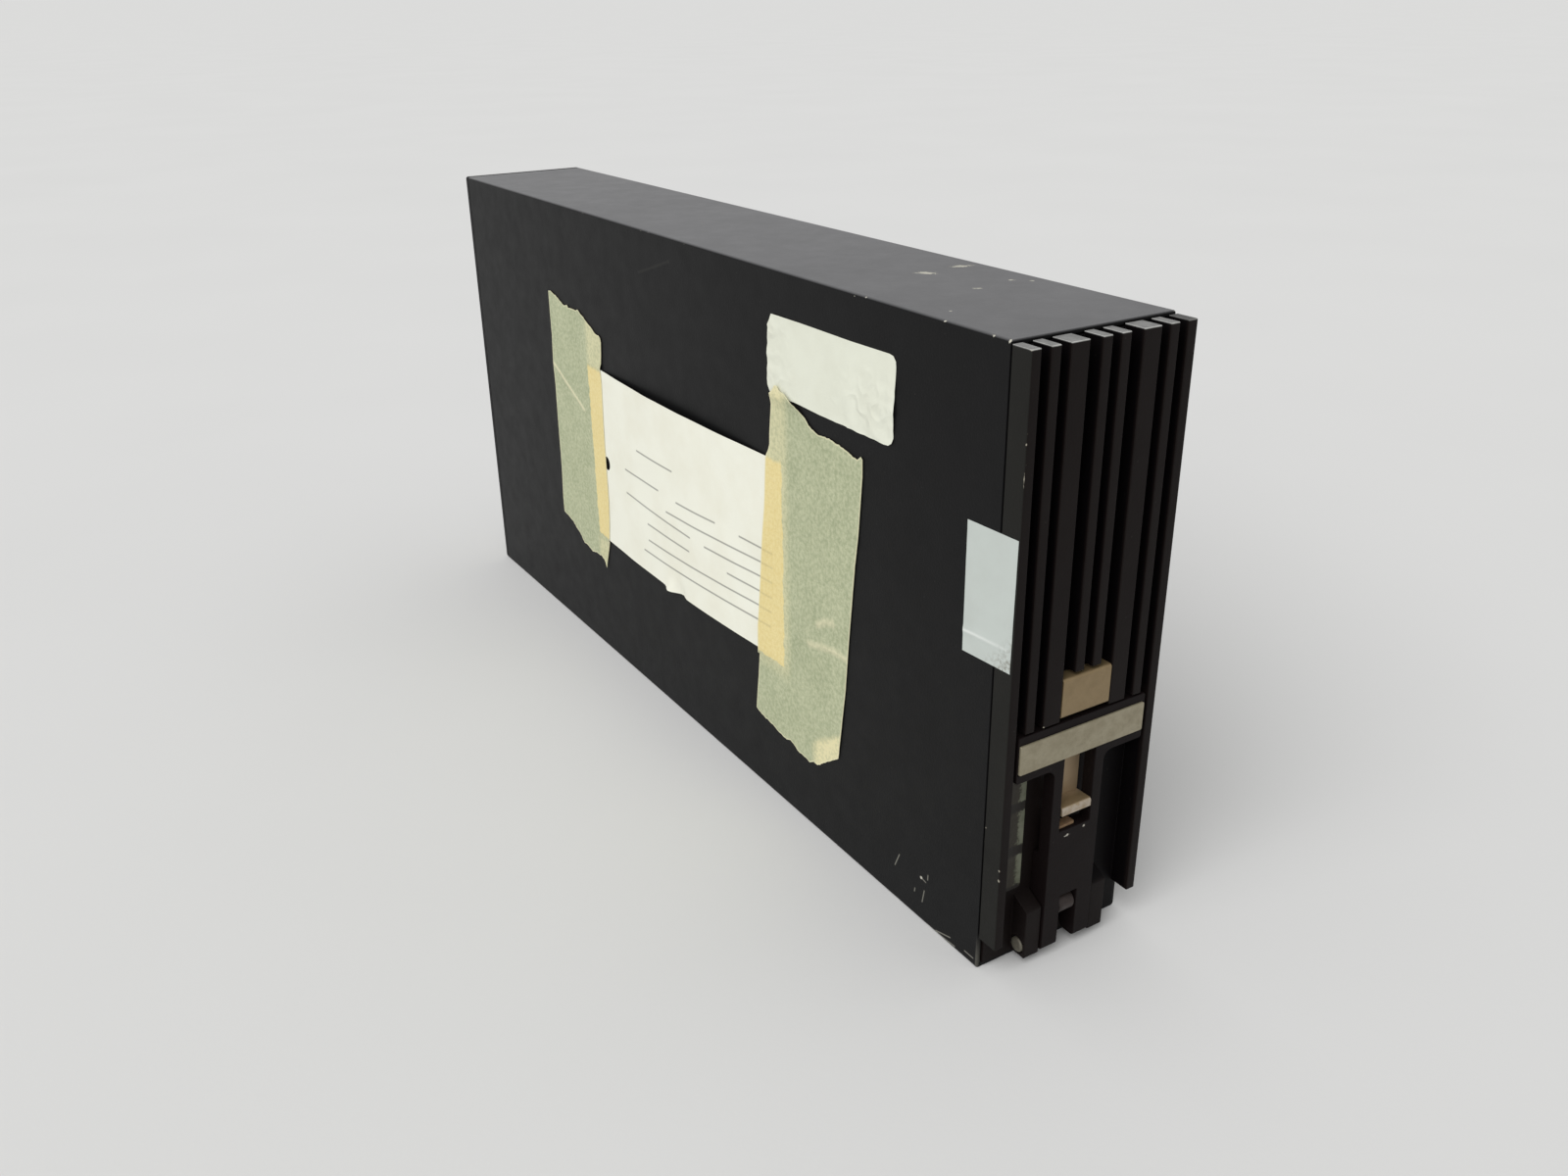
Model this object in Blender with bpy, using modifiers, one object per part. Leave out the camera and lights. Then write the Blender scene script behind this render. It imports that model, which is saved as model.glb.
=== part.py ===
"""Rack-mounted navigation computer: a flat black box with a finned front and a hinged handle.

Metres, +Z up. X runs to the right as seen from the front, the front faces -Y, and the origin is the
middle of the case's underside. A reach is a distance forward of the sleeve's front edge.
"""

import math

import bmesh
import bpy
from mathutils import Matrix, Vector

for leftover in list(bpy.data.objects):
    bpy.data.objects.remove(leftover, do_unlink=True)

# Case
CASE_WIDTH = 0.05715
CASE_HEIGHT = 0.194
CASE_LENGTH = 0.388
CASE_CORNER_RADIUS = 0.001
SLEEVE_WALL = 0.0015
REAR_PANEL_THICKNESS = 0.0025

# Clearances: between pieces that sit on each other, and between pieces that move past each other
SEAT_GAP = 0.0003
RUN_GAP = 0.0005

# Finned front
BASE_THICKNESS = 0.008
FIN_ROOT_DEPTH = 0.0005
FIN_REACH = 0.0078
FIN_THICKNESS = 0.0032
WIDE_FIN_THICKNESS = 0.0062
CHANNEL_WIDTH = 0.01875
CENTRE_FIN_SPACING = 0.0033
FIN_TOP_DROP = 0.0009
FIN_EDGE = 0.0003
OUTER_FIN_FOOT = 0.0118
FIN_END_GAP = 0.0006
EAR_WIDTH = 0.0059
EAR_HEIGHT = 0.017
EAR_REACH = 0.0071
EAR_TOP_RISE = 0.0035
EAR_WALL = 0.0005

# Handle, hinged at its foot
PIVOT_REACH = 0.0037
PIVOT_HEIGHT = 0.0061
HANDLE_REACH = 0.0077
HANDLE_THICKNESS = 0.0045
HANDLE_EDGE = 0.0003
STEM_WIDTH = 0.0192
CROSSBAR_TOP = 0.0832
CROSSBAR_HEIGHT = 0.0151
CROSSBAR_END_GAP = 0.00105
CROSSBAR_CORNER = 0.0008
HANDLE_FILLET = 0.003
WINDOW_WIDTH = 0.012
WINDOW_DROP = 0.0226
FOOT_TOP_DROP = 0.0085
FOOT_STEP_FILLET = 0.001
FOOT_WALL = 0.0009
TINE_WALL = 0.0012
SLOT_WIDTH = 0.0067
SLOT_HEIGHT = 0.0179
HINGE_HEAD_DIAMETER = 0.005
HINGE_HEAD_LENGTH = 0.0042
HINGE_HEAD_PROUD = 0.0004
ROLLER_DIAMETER = 0.0064
ROLLER_HEADROOM = 0.0017
ROLLER_PIN_DIAMETER = 0.0028
ROLLER_CHAMFER = 0.0004
NAMEPLATE_SIDE_MARGIN = 0.0004
NAMEPLATE_HEIGHT = 0.0099
NAMEPLATE_THICKNESS = 0.0006
NAMEPLATE_POCKET = 0.0004
NAMEPLATE_CORNER = 0.0005
NAMEPLATE_TOP_MARGIN = 0.0026

# Catch, a rocker of bent sheet
SHEET = 0.001
BEND_RADIUS = 0.0007
PAD_HEIGHT = 0.0125
PAD_GAP = 0.0014
PAD_FLANGE = 0.0043
PAD_RISE_GAP = 0.0012
CATCH_PIVOT_REACH = 0.0004
CATCH_PIN_DIAMETER = 0.0024
KNUCKLE_DIAMETER = 0.0044
KNUCKLE_INSET = 0.001
TAB_ABOVE_SILL = 0.0081
TAB_REACH = 0.008
LIP_HEIGHT = 0.0027
STRIP_ABOVE_SILL = 0.001
WIDE_STRIP_DROP = 0.0035
POCKET_DEPTH = 0.004
POCKET_SIDE_GAP = 0.0002
POCKET_DROP = 0.008
LUG_WIDTH = 0.0035
LUG_HEIGHT = 0.0054
LUG_WALL = 0.0008
SPRING_DIAMETER = 0.0064
SPRING_WIRE = 0.0008
SPRING_TURNS = 5
SPRING_POST_LENGTH = 0.002

# Frame, cards and backplane
RAIL_SIZE = 0.006
RAIL_SOCKET_DEPTH = 0.003
GUIDE_HEIGHT = 0.005
GUIDE_END_GAP = 0.002
GROOVE_DEPTH = 0.0025
BOARD_THICKNESS = 0.0016
BOARD_SIDE_SPACE = 0.0075
BOARD_FRONT_SPACE = 0.009
BACKPLANE_THICKNESS = 0.0024
BACKPLANE_END_SPACE = 0.012
SOCKET_THICKNESS = 0.008
SOCKET_DEPTH = 0.01
SOCKET_SLOT_DEPTH = 0.006
SOCKET_END_SPACE = 0.01
STANDOFF_LENGTH = 0.026
STANDOFF_DIAMETER = 0.0058
STANDOFF_INSET = 0.012

# Rear connector and fasteners
CONNECTOR_LOW = 0.012
INSERT_WIDTH = 0.02
INSERT_HEIGHT = 0.028
INSERT_RECESS = 0.006
INSERT_EDGE = 0.0005
SHELL_WALL = 0.0025
SHELL_CORNER = 0.0015
KEYING_HEIGHT = 0.013
KEYING_POST_DIAMETER = 0.005
FLANGE_THICKNESS = 0.003
FLANGE_SIDE = 0.004
FLANGE_END = 0.007
SHROUD_LENGTH = 0.011
POST_RECESS = 0.002
PANEL_OPENING_MARGIN = 0.001
PANEL_SCREW_DIAMETER = 0.003
PANEL_SCREW_LENGTH = 0.009
PANEL_SCREW_HEAD_DIAMETER = 0.0055
FLANGE_SCREW_DIAMETER = 0.0025
FLANGE_SCREW_HEAD_DIAMETER = 0.0044
FLANGE_SCREW_LENGTH = 0.007
SCREW_HEAD_HEIGHT = 0.0016
RECESS_WIDTH = 0.0007
RECESS_LENGTH = 0.0028
RECESS_DEPTH = 0.0009

# Parts on the boards, each with its place along and above the board's middle, and on the front's back
SLEEVE_CLEARANCE = 0.002
CHIP_SIDE = 0.034
CHIP_THICKNESS = 0.004
CHIP_PLACE = (-0.05, 0.02)
MEMORY_SIZE = (0.006, 0.07, 0.04)
MEMORY_PLACE = (0.05, 0.02)
OSCILLATOR_SIZE = (0.005, 0.02, 0.013)
OSCILLATOR_PLACE = (-0.05, 0.03)
BATTERY_DIAMETER = 0.009
BATTERY_LENGTH = 0.03
BATTERY_PLACE = (0.05, 0.03)
TRANSFORMER_SIDE = 0.042
TRANSFORMER_PLACE = (0.05, -0.03)
CAPACITOR_LENGTH = 0.036
CAPACITOR_SPACING = 0.018
CAPACITOR_PLACE = (-0.05, -0.03)
FILTER_SIZE = (0.009, 0.05, 0.03)
FILTER_PLACE = (0.05, 0.035)
TRANSISTOR_SIZE = (0.016, 0.005, 0.021)
TRANSISTOR_SPACING = 0.024

# Places that follow from the sizes
HALF_WIDTH = CASE_WIDTH / 2
FRONT_EDGE = -CASE_LENGTH / 2
INNER_HALF = HALF_WIDTH - SLEEVE_WALL
INNER_HIGH = CASE_HEIGHT - SLEEVE_WALL
PANEL_FRONT = CASE_LENGTH / 2 - REAR_PANEL_THICKNESS
PANEL_BACK = CASE_LENGTH / 2
FLOOR_REACH = SEAT_GAP + FIN_ROOT_DEPTH
BASE_BACK = FRONT_EDGE - FLOOR_REACH + BASE_THICKNESS
SIDE_FINS_WIDTH = HALF_WIDTH - CHANNEL_WIDTH / 2
FIN_SPACING = (SIDE_FINS_WIDTH - 2 * FIN_THICKNESS - WIDE_FIN_THICKNESS) / 2

FOOT_RADIUS = PIVOT_REACH - FLOOR_REACH - SEAT_GAP
FOOT_BACK = PIVOT_REACH - FOOT_RADIUS
FOOT_LOW = PIVOT_HEIGHT - FOOT_RADIUS
HANDLE_BACK = HANDLE_REACH - HANDLE_THICKNESS
CROSSBAR_LOW = CROSSBAR_TOP - CROSSBAR_HEIGHT
CROSSBAR_HALF = HALF_WIDTH - FIN_THICKNESS - CROSSBAR_END_GAP
STEM_HALF = STEM_WIDTH / 2
SILL = CROSSBAR_LOW - WINDOW_DROP
FOOT_TOP = SILL - FOOT_TOP_DROP
SLOT_TOP = FOOT_LOW + SLOT_HEIGHT
NAMEPLATE_TOP = CROSSBAR_TOP - NAMEPLATE_TOP_MARGIN
NAMEPLATE_LOW = NAMEPLATE_TOP - NAMEPLATE_HEIGHT
NAMEPLATE_HALF = CROSSBAR_HALF - NAMEPLATE_SIDE_MARGIN
EAR_INNER = STEM_HALF + RUN_GAP
EAR_LOW = PIVOT_HEIGHT - HINGE_HEAD_DIAMETER / 2 - SEAT_GAP - EAR_WALL
HINGE_SHANK_RADIUS = FOOT_RADIUS - FOOT_WALL - SEAT_GAP
ROLLER_REACH = (FOOT_BACK + HANDLE_REACH) / 2
ROLLER_HEIGHT = SLOT_TOP - ROLLER_HEADROOM - ROLLER_DIAMETER / 2

PAD_LOW = CROSSBAR_TOP + PAD_GAP
PAD_TOP = PAD_LOW + PAD_HEIGHT
PAD_HALF = CHANNEL_WIDTH / 2 - SEAT_GAP
KNUCKLE_HALF = PAD_HALF - KNUCKLE_INSET
STRIP_HALF = WINDOW_WIDTH / 2 - SEAT_GAP
STRIP_BACK = FLOOR_REACH + SEAT_GAP
STRIP_FRONT = STRIP_BACK + SHEET
CATCH_PIVOT_HEIGHT = (CROSSBAR_LOW + CROSSBAR_TOP) / 2
TAB_TOP = SILL + TAB_ABOVE_SILL
POCKET_REACH = FLOOR_REACH - POCKET_DEPTH
POCKET_HALF = PAD_HALF + POCKET_SIDE_GAP
LUG_INNER = POCKET_HALF + RUN_GAP
LUG_OUTER = LUG_INNER + LUG_WIDTH
CATCH_HOLE_RADIUS = CATCH_PIN_DIAMETER / 2 + SEAT_GAP

RAIL_X = INNER_HALF - SEAT_GAP - RAIL_SIZE / 2
RAIL_LOW = SLEEVE_WALL + SEAT_GAP + RAIL_SIZE / 2
RAIL_HIGH = CASE_HEIGHT - RAIL_LOW
CARD_HALF = RAIL_X - RAIL_SIZE / 2 - SEAT_GAP
BOARD_PITCH = CARD_HALF - BOARD_SIDE_SPACE
BACKPLANE_BACK = PANEL_FRONT - 2 * SEAT_GAP - STANDOFF_LENGTH
BACKPLANE_FRONT = BACKPLANE_BACK - BACKPLANE_THICKNESS
SOCKET_FRONT = BACKPLANE_FRONT - SEAT_GAP - SOCKET_DEPTH
GUIDE_LOW = SLEEVE_WALL + SEAT_GAP
GROOVE_FLOOR = GUIDE_LOW + GUIDE_HEIGHT - GROOVE_DEPTH
BOARD_LOW = GROOVE_FLOOR + SEAT_GAP
BOARD_HIGH = CASE_HEIGHT - BOARD_LOW
BOARD_FRONT = BASE_BACK + BOARD_FRONT_SPACE
BOARD_BACK = SOCKET_FRONT + SOCKET_SLOT_DEPTH - SEAT_GAP
BOARD_MIDDLE = (BOARD_FRONT + BOARD_BACK) / 2
MID_HEIGHT = CASE_HEIGHT / 2
OUTER_BAY = INNER_HALF - BOARD_PITCH - BOARD_THICKNESS / 2

CAVITY_STEP = INSERT_HEIGHT + SHELL_WALL
SHROUD_HALF = INSERT_WIDTH / 2 + SHELL_WALL
SHROUD_LOW = CONNECTOR_LOW + FLANGE_END
KEYING_LOW = SHROUD_LOW + SHELL_WALL + 3 * CAVITY_STEP
SHROUD_TOP = KEYING_LOW + KEYING_HEIGHT + SHELL_WALL
FLANGE_HALF = SHROUD_HALF + FLANGE_SIDE
FLANGE_TOP = SHROUD_TOP + FLANGE_END
FLANGE_FRONT = PANEL_BACK + SEAT_GAP
FLANGE_BACK = FLANGE_FRONT + FLANGE_THICKNESS
SHROUD_BACK = FLANGE_BACK + SHROUD_LENGTH
CUT_PAST = 0.003

# Profiles are drawn in two axes and given their thickness along the third.
ACROSS_Y = Matrix(((1, 0, 0, 0), (0, 0, -1, 0), (0, 1, 0, 0), (0, 0, 0, 1)))
ACROSS_X = Matrix(((0, 0, 1, 0), (1, 0, 0, 0), (0, 1, 0, 0), (0, 0, 0, 1)))


def new_collection(name):
    made = bpy.data.collections.new(name)
    bpy.context.scene.collection.children.link(made)
    return made


PARTS = new_collection("navigation_computer")
CUTTERS = new_collection("cutters")


def forward(reach):
    """The y of a point this far forward of the sleeve's front edge."""
    return FRONT_EDGE - reach


def finish(name, colour, roughness, metallic):
    made = bpy.data.materials.new(name)
    made.use_nodes = True
    shader = made.node_tree.nodes["Principled BSDF"]
    shader.inputs["Base Color"].default_value = (*colour, 1.0)
    shader.inputs["Roughness"].default_value = roughness
    shader.inputs["Metallic"].default_value = metallic
    return made


def black_paint(name):
    return finish(name, (0.012, 0.012, 0.014), 0.5, 0.0)


def steel(name):
    return finish(name, (0.55, 0.54, 0.52), 0.35, 1.0)


def aluminium(name):
    return finish(name, (0.6, 0.6, 0.6), 0.45, 1.0)


def laminate(name):
    return finish(name, (0.03, 0.16, 0.07), 0.5, 0.0)


def moulding(name):
    return finish(name, (0.03, 0.03, 0.035), 0.45, 0.0)


def mesh_of(bm, name):
    mesh = bpy.data.meshes.new(name)
    bm.to_mesh(mesh)
    bm.free()
    return mesh


def evaluated(obj):
    """The object's mesh with its modifiers applied and its doubles merged; the object is removed."""
    bpy.context.view_layer.update()
    graph = bpy.context.evaluated_depsgraph_get()
    mesh = bpy.data.meshes.new_from_object(obj.evaluated_get(graph))
    mesh.transform(obj.matrix_world)
    bpy.data.objects.remove(obj, do_unlink=True)
    bm = bmesh.new()
    bm.from_mesh(mesh)
    bmesh.ops.remove_doubles(bm, verts=bm.verts, dist=1e-6)
    bm.to_mesh(mesh)
    bm.free()
    return mesh


def block(low, high, edge=0.0):
    """A box between two corners, with its edges chamfered by edge."""
    low, high = Vector(low), Vector(high)
    bm = bmesh.new()
    bmesh.ops.create_cube(bm, size=1.0)
    bmesh.ops.scale(bm, vec=high - low, verts=bm.verts)
    bmesh.ops.translate(bm, vec=(low + high) / 2, verts=bm.verts)
    if edge:
        bmesh.ops.bevel(bm, geom=bm.edges[:], offset=edge, segments=1, profile=0.5, affect="EDGES")
    return mesh_of(bm, "block")


def rod(start, end, radius, sides=24):
    """A round or, with few sides, a polygonal bar between two points."""
    start, end = Vector(start), Vector(end)
    turn = (end - start).to_track_quat("Z", "Y").to_matrix().to_4x4()
    bm = bmesh.new()
    bmesh.ops.create_cone(
        bm,
        cap_ends=True,
        segments=sides,
        radius1=radius,
        radius2=radius,
        depth=(end - start).length,
        matrix=Matrix.Translation((start + end) / 2) @ turn,
    )
    return mesh_of(bm, "rod")


def prism(loops, thickness, across, middle):
    """Closed loops of 2D points, filled and thickened along one axis about middle."""
    curve = bpy.data.curves.new("outline", "CURVE")
    curve.dimensions = "2D"
    curve.fill_mode = "BOTH"
    curve.extrude = thickness / 2
    for loop in loops:
        spline = curve.splines.new("POLY")
        spline.points.add(len(loop) - 1)
        spline.use_cyclic_u = True
        for point, (a, b) in zip(spline.points, loop):
            point.co = (a, b, 0.0, 1.0)
    obj = bpy.data.objects.new("outline", curve)
    PARTS.objects.link(obj)
    mesh = evaluated(obj)
    mesh.transform(Matrix.Translation(middle) @ across)
    return mesh


def turned(profile, base, direction, sides=24):
    """A profile of (radius, height) points, top to bottom on its outer side, turned about an axis."""
    mesh = bpy.data.meshes.new("profile")
    edges = [(i, i + 1) for i in range(len(profile) - 1)]
    if profile[0][0] > 0:
        edges.append((len(profile) - 1, 0))
    mesh.from_pydata([(radius, 0.0, height) for radius, height in profile], edges, [])
    obj = bpy.data.objects.new("profile", mesh)
    PARTS.objects.link(obj)
    screw = obj.modifiers.new("turn", "SCREW")
    screw.steps = screw.render_steps = sides
    screw.use_merge_vertices = True
    screw.merge_threshold = 1e-6
    turned_mesh = evaluated(obj)
    turn = Vector(direction).to_track_quat("Z", "Y").to_matrix().to_4x4()
    turned_mesh.transform(Matrix.Translation(base) @ turn)
    return turned_mesh


def rounded(corners, radii, steps=4):
    """The corners of a loop, each replaced by an arc of its own radius."""
    loop = []
    for i, (corner, radius) in enumerate(zip(corners, radii)):
        here = Vector(corner)
        before = (Vector(corners[i - 1]) - here).normalized()
        after = (Vector(corners[(i + 1) % len(corners)]) - here).normalized()
        if not radius:
            loop.append(tuple(here))
            continue
        half = before.angle(after) / 2
        centre = here + (before + after).normalized() * radius / math.sin(half)
        first = here + before * radius / math.tan(half) - centre
        last = here + after * radius / math.tan(half) - centre
        sweep = math.pi - 2 * half
        for step in range(steps + 1):
            share = step / steps
            blend = first * math.sin((1 - share) * sweep) + last * math.sin(share * sweep)
            loop.append(tuple(centre + blend / math.sin(sweep)))
    return loop


def circle(x, z, radius, sides=24):
    turns = [2 * math.pi * number / sides for number in range(sides)]
    return [(x + radius * math.cos(turn), z + radius * math.sin(turn)) for turn in turns]


def rectangle(half_width, low, high, radius):
    corners = [(-half_width, low), (half_width, low), (half_width, high), (-half_width, high)]
    return rounded(corners, [radius] * 4)


def place(name, mesh, look, origin=None, pivot=None):
    """An object from a mesh in world coordinates, with its own origin, carried by a pivot if it moves."""
    if origin is None:
        corners = [vertex.co for vertex in mesh.vertices]
        low = Vector([min(corner[axis] for corner in corners) for axis in range(3)])
        high = Vector([max(corner[axis] for corner in corners) for axis in range(3)])
        origin = (low + high) / 2
    origin = Vector(origin)
    mesh.transform(Matrix.Translation(-origin))
    mesh.name = name
    obj = bpy.data.objects.new(name, mesh)
    PARTS.objects.link(obj)
    mesh.materials.append(look(name))
    mesh.shade_smooth()
    mesh.set_sharp_from_angle(angle=math.radians(35))
    obj.location = origin
    if pivot:
        obj.parent = pivot
        obj.matrix_parent_inverse = Matrix.Translation(-pivot_place(pivot))
    return obj


def pivot_at(name, point, carrier=None):
    """An empty on a joint's axis."""
    empty = bpy.data.objects.new(name, None)
    empty.empty_display_size = 0.01
    PARTS.objects.link(empty)
    empty.location = point
    if carrier:
        empty.parent = carrier
        empty.matrix_parent_inverse = Matrix.Translation(-pivot_place(carrier))
    return empty


def pivot_place(empty):
    bpy.context.view_layer.update()
    return empty.matrix_world.translation


def combine(target, mesh, operation):
    """Cuts from, joins to or keeps within the target the solid of a mesh in world coordinates."""
    tool = bpy.data.objects.new(f"{target.name}_{operation.lower()}_{len(target.modifiers)}", mesh)
    CUTTERS.objects.link(tool)
    target.data.shade_flat()
    tool.hide_render = True
    tool.display_type = "WIRE"
    step = target.modifiers.new(operation.lower(), "BOOLEAN")
    step.operation = operation
    step.object = tool


def cut(target, mesh):
    combine(target, mesh, "DIFFERENCE")


def join(target, mesh):
    combine(target, mesh, "UNION")


def rear_screw(name, seat, diameter, head_diameter, length):
    """A pan-headed screw with a cross recess, its head on the rear side of a seat."""
    shank = diameter / 2
    head = head_diameter / 2
    profile = [
        (0, SCREW_HEAD_HEIGHT),
        (head * 0.8, SCREW_HEAD_HEIGHT),
        (head, SCREW_HEAD_HEIGHT / 2),
        (head, SEAT_GAP),
        (shank, SEAT_GAP),
        (shank, -length),
        (0, -length),
    ]
    screw = place(name, turned(profile, seat, (0, 1, 0)), steel)
    low, high = SCREW_HEAD_HEIGHT - RECESS_DEPTH, SCREW_HEAD_HEIGHT + CUT_PAST
    for x, z in ((RECESS_LENGTH / 2, RECESS_WIDTH / 2), (RECESS_WIDTH / 2, RECESS_LENGTH / 2)):
        cut(screw, block(seat + Vector((-x, low, -z)), seat + Vector((x, high, z))))


# Case sleeve, a drawn tube that the front and the rear panel close
sleeve_back = PANEL_FRONT - SEAT_GAP
sleeve_loops = [
    rectangle(HALF_WIDTH, 0.0, CASE_HEIGHT, CASE_CORNER_RADIUS),
    rectangle(INNER_HALF, SLEEVE_WALL, INNER_HIGH, CASE_CORNER_RADIUS / 2),
]
place(
    "case_sleeve",
    prism(
        sleeve_loops,
        sleeve_back - FRONT_EDGE,
        ACROSS_Y,
        (0, (sleeve_back + FRONT_EDGE) / 2, 0),
    ),
    black_paint,
)


# Finned front: base in the sleeve's mouth, fins, hinge ears and catch lugs in one casting
def fin_spans():
    """Each fin's left side, right side and lower end, from the left."""
    above_crossbar = CROSSBAR_TOP + FIN_END_GAP
    x = -HALF_WIDTH
    left = []
    for width, foot in (
        (FIN_THICKNESS, OUTER_FIN_FOOT),
        (FIN_THICKNESS, above_crossbar),
        (WIDE_FIN_THICKNESS, above_crossbar),
    ):
        left.append((x, x + width, foot))
        x += width + FIN_SPACING
    inner = CENTRE_FIN_SPACING / 2
    left.append((-inner - FIN_THICKNESS, -inner, PAD_TOP + PAD_RISE_GAP))
    return left + [(-end, -start, foot) for start, end, foot in reversed(left)]


def hinge_profile(grown):
    """A headed hinge pin from its outer end inwards, grown all round by a clearance."""
    head = HINGE_HEAD_DIAMETER / 2 + grown
    shank = HINGE_SHANK_RADIUS + grown
    outer = EAR_INNER + EAR_WIDTH + HINGE_HEAD_PROUD + grown
    step = EAR_INNER + EAR_WIDTH - HINGE_HEAD_LENGTH - grown
    inner = SLOT_WIDTH / 2 + TINE_WALL - grown
    return [(0, outer), (head, outer), (head, step), (shank, step), (shank, inner), (0, inner)]


PIVOT = Vector((0, forward(PIVOT_REACH), PIVOT_HEIGHT))
CATCH_PIVOT = Vector((0, forward(CATCH_PIVOT_REACH), CATCH_PIVOT_HEIGHT))
SPRING_HEIGHT = (PAD_LOW + PAD_TOP) / 2

front = place(
    "front_heatsink",
    block(
        (-INNER_HALF + SEAT_GAP, forward(FLOOR_REACH), SLEEVE_WALL + SEAT_GAP),
        (INNER_HALF - SEAT_GAP, BASE_BACK, INNER_HIGH - SEAT_GAP),
    ),
    black_paint,
)
for start, end, foot in fin_spans():
    fin_top = CASE_HEIGHT - FIN_TOP_DROP
    fin_low = (start, forward(FIN_REACH), foot)
    join(front, block(fin_low, (end, forward(SEAT_GAP), fin_top), FIN_EDGE))
ear_loop = [
    (forward(SEAT_GAP), EAR_LOW),
    (forward(EAR_REACH), EAR_LOW),
    (forward(EAR_REACH), EAR_LOW + EAR_HEIGHT),
    (forward(SEAT_GAP), EAR_LOW + EAR_HEIGHT + EAR_TOP_RISE),
]
for side in (-1, 1):
    join(front, prism([ear_loop], EAR_WIDTH, ACROSS_X, (side * (EAR_INNER + EAR_WIDTH / 2), 0, 0)))
    lug_x = sorted((side * LUG_INNER, side * LUG_OUTER))
    lug_reach = CATCH_PIVOT_REACH + CATCH_HOLE_RADIUS + LUG_WALL
    lug_low = (lug_x[0], forward(lug_reach), CATCH_PIVOT_HEIGHT - LUG_HEIGHT / 2)
    lug_high = (lug_x[1], forward(SEAT_GAP), CATCH_PIVOT_HEIGHT + LUG_HEIGHT / 2)
    join(front, block(lug_low, lug_high))
cut(
    front,
    block(
        (-POCKET_HALF, forward(FLOOR_REACH + CUT_PAST), CATCH_PIVOT_HEIGHT - POCKET_DROP),
        (POCKET_HALF, forward(POCKET_REACH), PAD_TOP + PAD_RISE_GAP / 2),
    ),
)
lug_end = Vector((LUG_OUTER + SEAT_GAP, 0, 0))
cut(front, rod(CATCH_PIVOT - lug_end, CATCH_PIVOT + lug_end, CATCH_HOLE_RADIUS))
for side in (-1, 1):
    cut(front, turned(hinge_profile(SEAT_GAP), PIVOT, (side, 0, 0)))
for x in (-RAIL_X, RAIL_X):
    for z in (RAIL_LOW, RAIL_HIGH):
        around = Vector((RAIL_SIZE / 2 + SEAT_GAP, 0, RAIL_SIZE / 2 + SEAT_GAP))
        outward = Vector((math.copysign(CUT_PAST, x), 0, math.copysign(CUT_PAST, z - MID_HEIGHT)))
        corner = Vector((x, BASE_BACK - RAIL_SOCKET_DEPTH, z))
        ends = [corner - around, corner + around + Vector((0, RAIL_SOCKET_DEPTH + CUT_PAST, 0))]
        low = Vector([min(ends[0][axis], ends[0][axis] + outward[axis]) for axis in range(3)])
        high = Vector([max(ends[1][axis], ends[1][axis] + outward[axis]) for axis in range(3)])
        cut(front, block(low, high))
post_foot = Vector((0, forward(POCKET_REACH - SHEET), SPRING_HEIGHT))
post_end = Vector((0, forward(POCKET_REACH + SPRING_POST_LENGTH), SPRING_HEIGHT))
join(front, rod(post_foot, post_end, SPRING_DIAMETER / 2 - SPRING_WIRE - SEAT_GAP))

# Hinge pins, pressed in the ears, with the handle turning on their shanks
for side, label in ((-1, "left"), (1, "right")):
    place(f"hinge_pin_{label}", turned(hinge_profile(0), PIVOT, (side, 0, 0)), steel)

# Handle: T outline kept within a side profile whose heel is round about the pivot
handle_pivot = pivot_at("handle_pivot", PIVOT)
tee = rounded(
    [
        (-STEM_HALF, FOOT_LOW - CUT_PAST),
        (STEM_HALF, FOOT_LOW - CUT_PAST),
        (STEM_HALF, CROSSBAR_LOW),
        (CROSSBAR_HALF, CROSSBAR_LOW),
        (CROSSBAR_HALF, CROSSBAR_TOP),
        (-CROSSBAR_HALF, CROSSBAR_TOP),
        (-CROSSBAR_HALF, CROSSBAR_LOW),
        (-STEM_HALF, CROSSBAR_LOW),
    ],
    [0, 0, HANDLE_FILLET] + [CROSSBAR_CORNER] * 4 + [HANDLE_FILLET],
)
side_profile = rounded(
    [
        (forward(HANDLE_REACH), FOOT_LOW),
        (forward(HANDLE_REACH), CROSSBAR_TOP + CUT_PAST),
        (forward(HANDLE_BACK), CROSSBAR_TOP + CUT_PAST),
        (forward(HANDLE_BACK), FOOT_TOP),
        (forward(FOOT_BACK), FOOT_TOP),
        (forward(FOOT_BACK), FOOT_LOW),
    ],
    [FOOT_STEP_FILLET, 0, 0, FOOT_STEP_FILLET, FOOT_STEP_FILLET, FOOT_RADIUS],
    steps=6,
)
tee_depth = HANDLE_REACH + 2 * CUT_PAST
handle = place(
    "handle",
    prism([tee], tee_depth, ACROSS_Y, (0, forward(HANDLE_REACH / 2), 0)),
    black_paint,
    origin=PIVOT,
    pivot=handle_pivot,
)
combine(handle, prism([side_profile], CASE_WIDTH, ACROSS_X, (0, 0, 0)), "INTERSECT")
soften = handle.modifiers.new("soften", "BEVEL")
soften.width = HANDLE_EDGE
soften.segments = 1
soften.limit_method = "ANGLE"
soften.angle_limit = math.radians(40)
through_front = forward(HANDLE_REACH + CUT_PAST)
through_back = forward(FOOT_BACK - CUT_PAST)
window_top = NAMEPLATE_LOW + FIN_EDGE + SHEET
cut(
    handle,
    block(
        (-WINDOW_WIDTH / 2, through_front, SILL),
        (WINDOW_WIDTH / 2, through_back, window_top),
    ),
)
cut(
    handle,
    block(
        (-SLOT_WIDTH / 2, through_front, FOOT_LOW - CUT_PAST),
        (SLOT_WIDTH / 2, through_back, SLOT_TOP),
    ),
)
for side in (-1, 1):
    cut(handle, turned(hinge_profile(SEAT_GAP), PIVOT, (side, 0, 0)))
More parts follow.
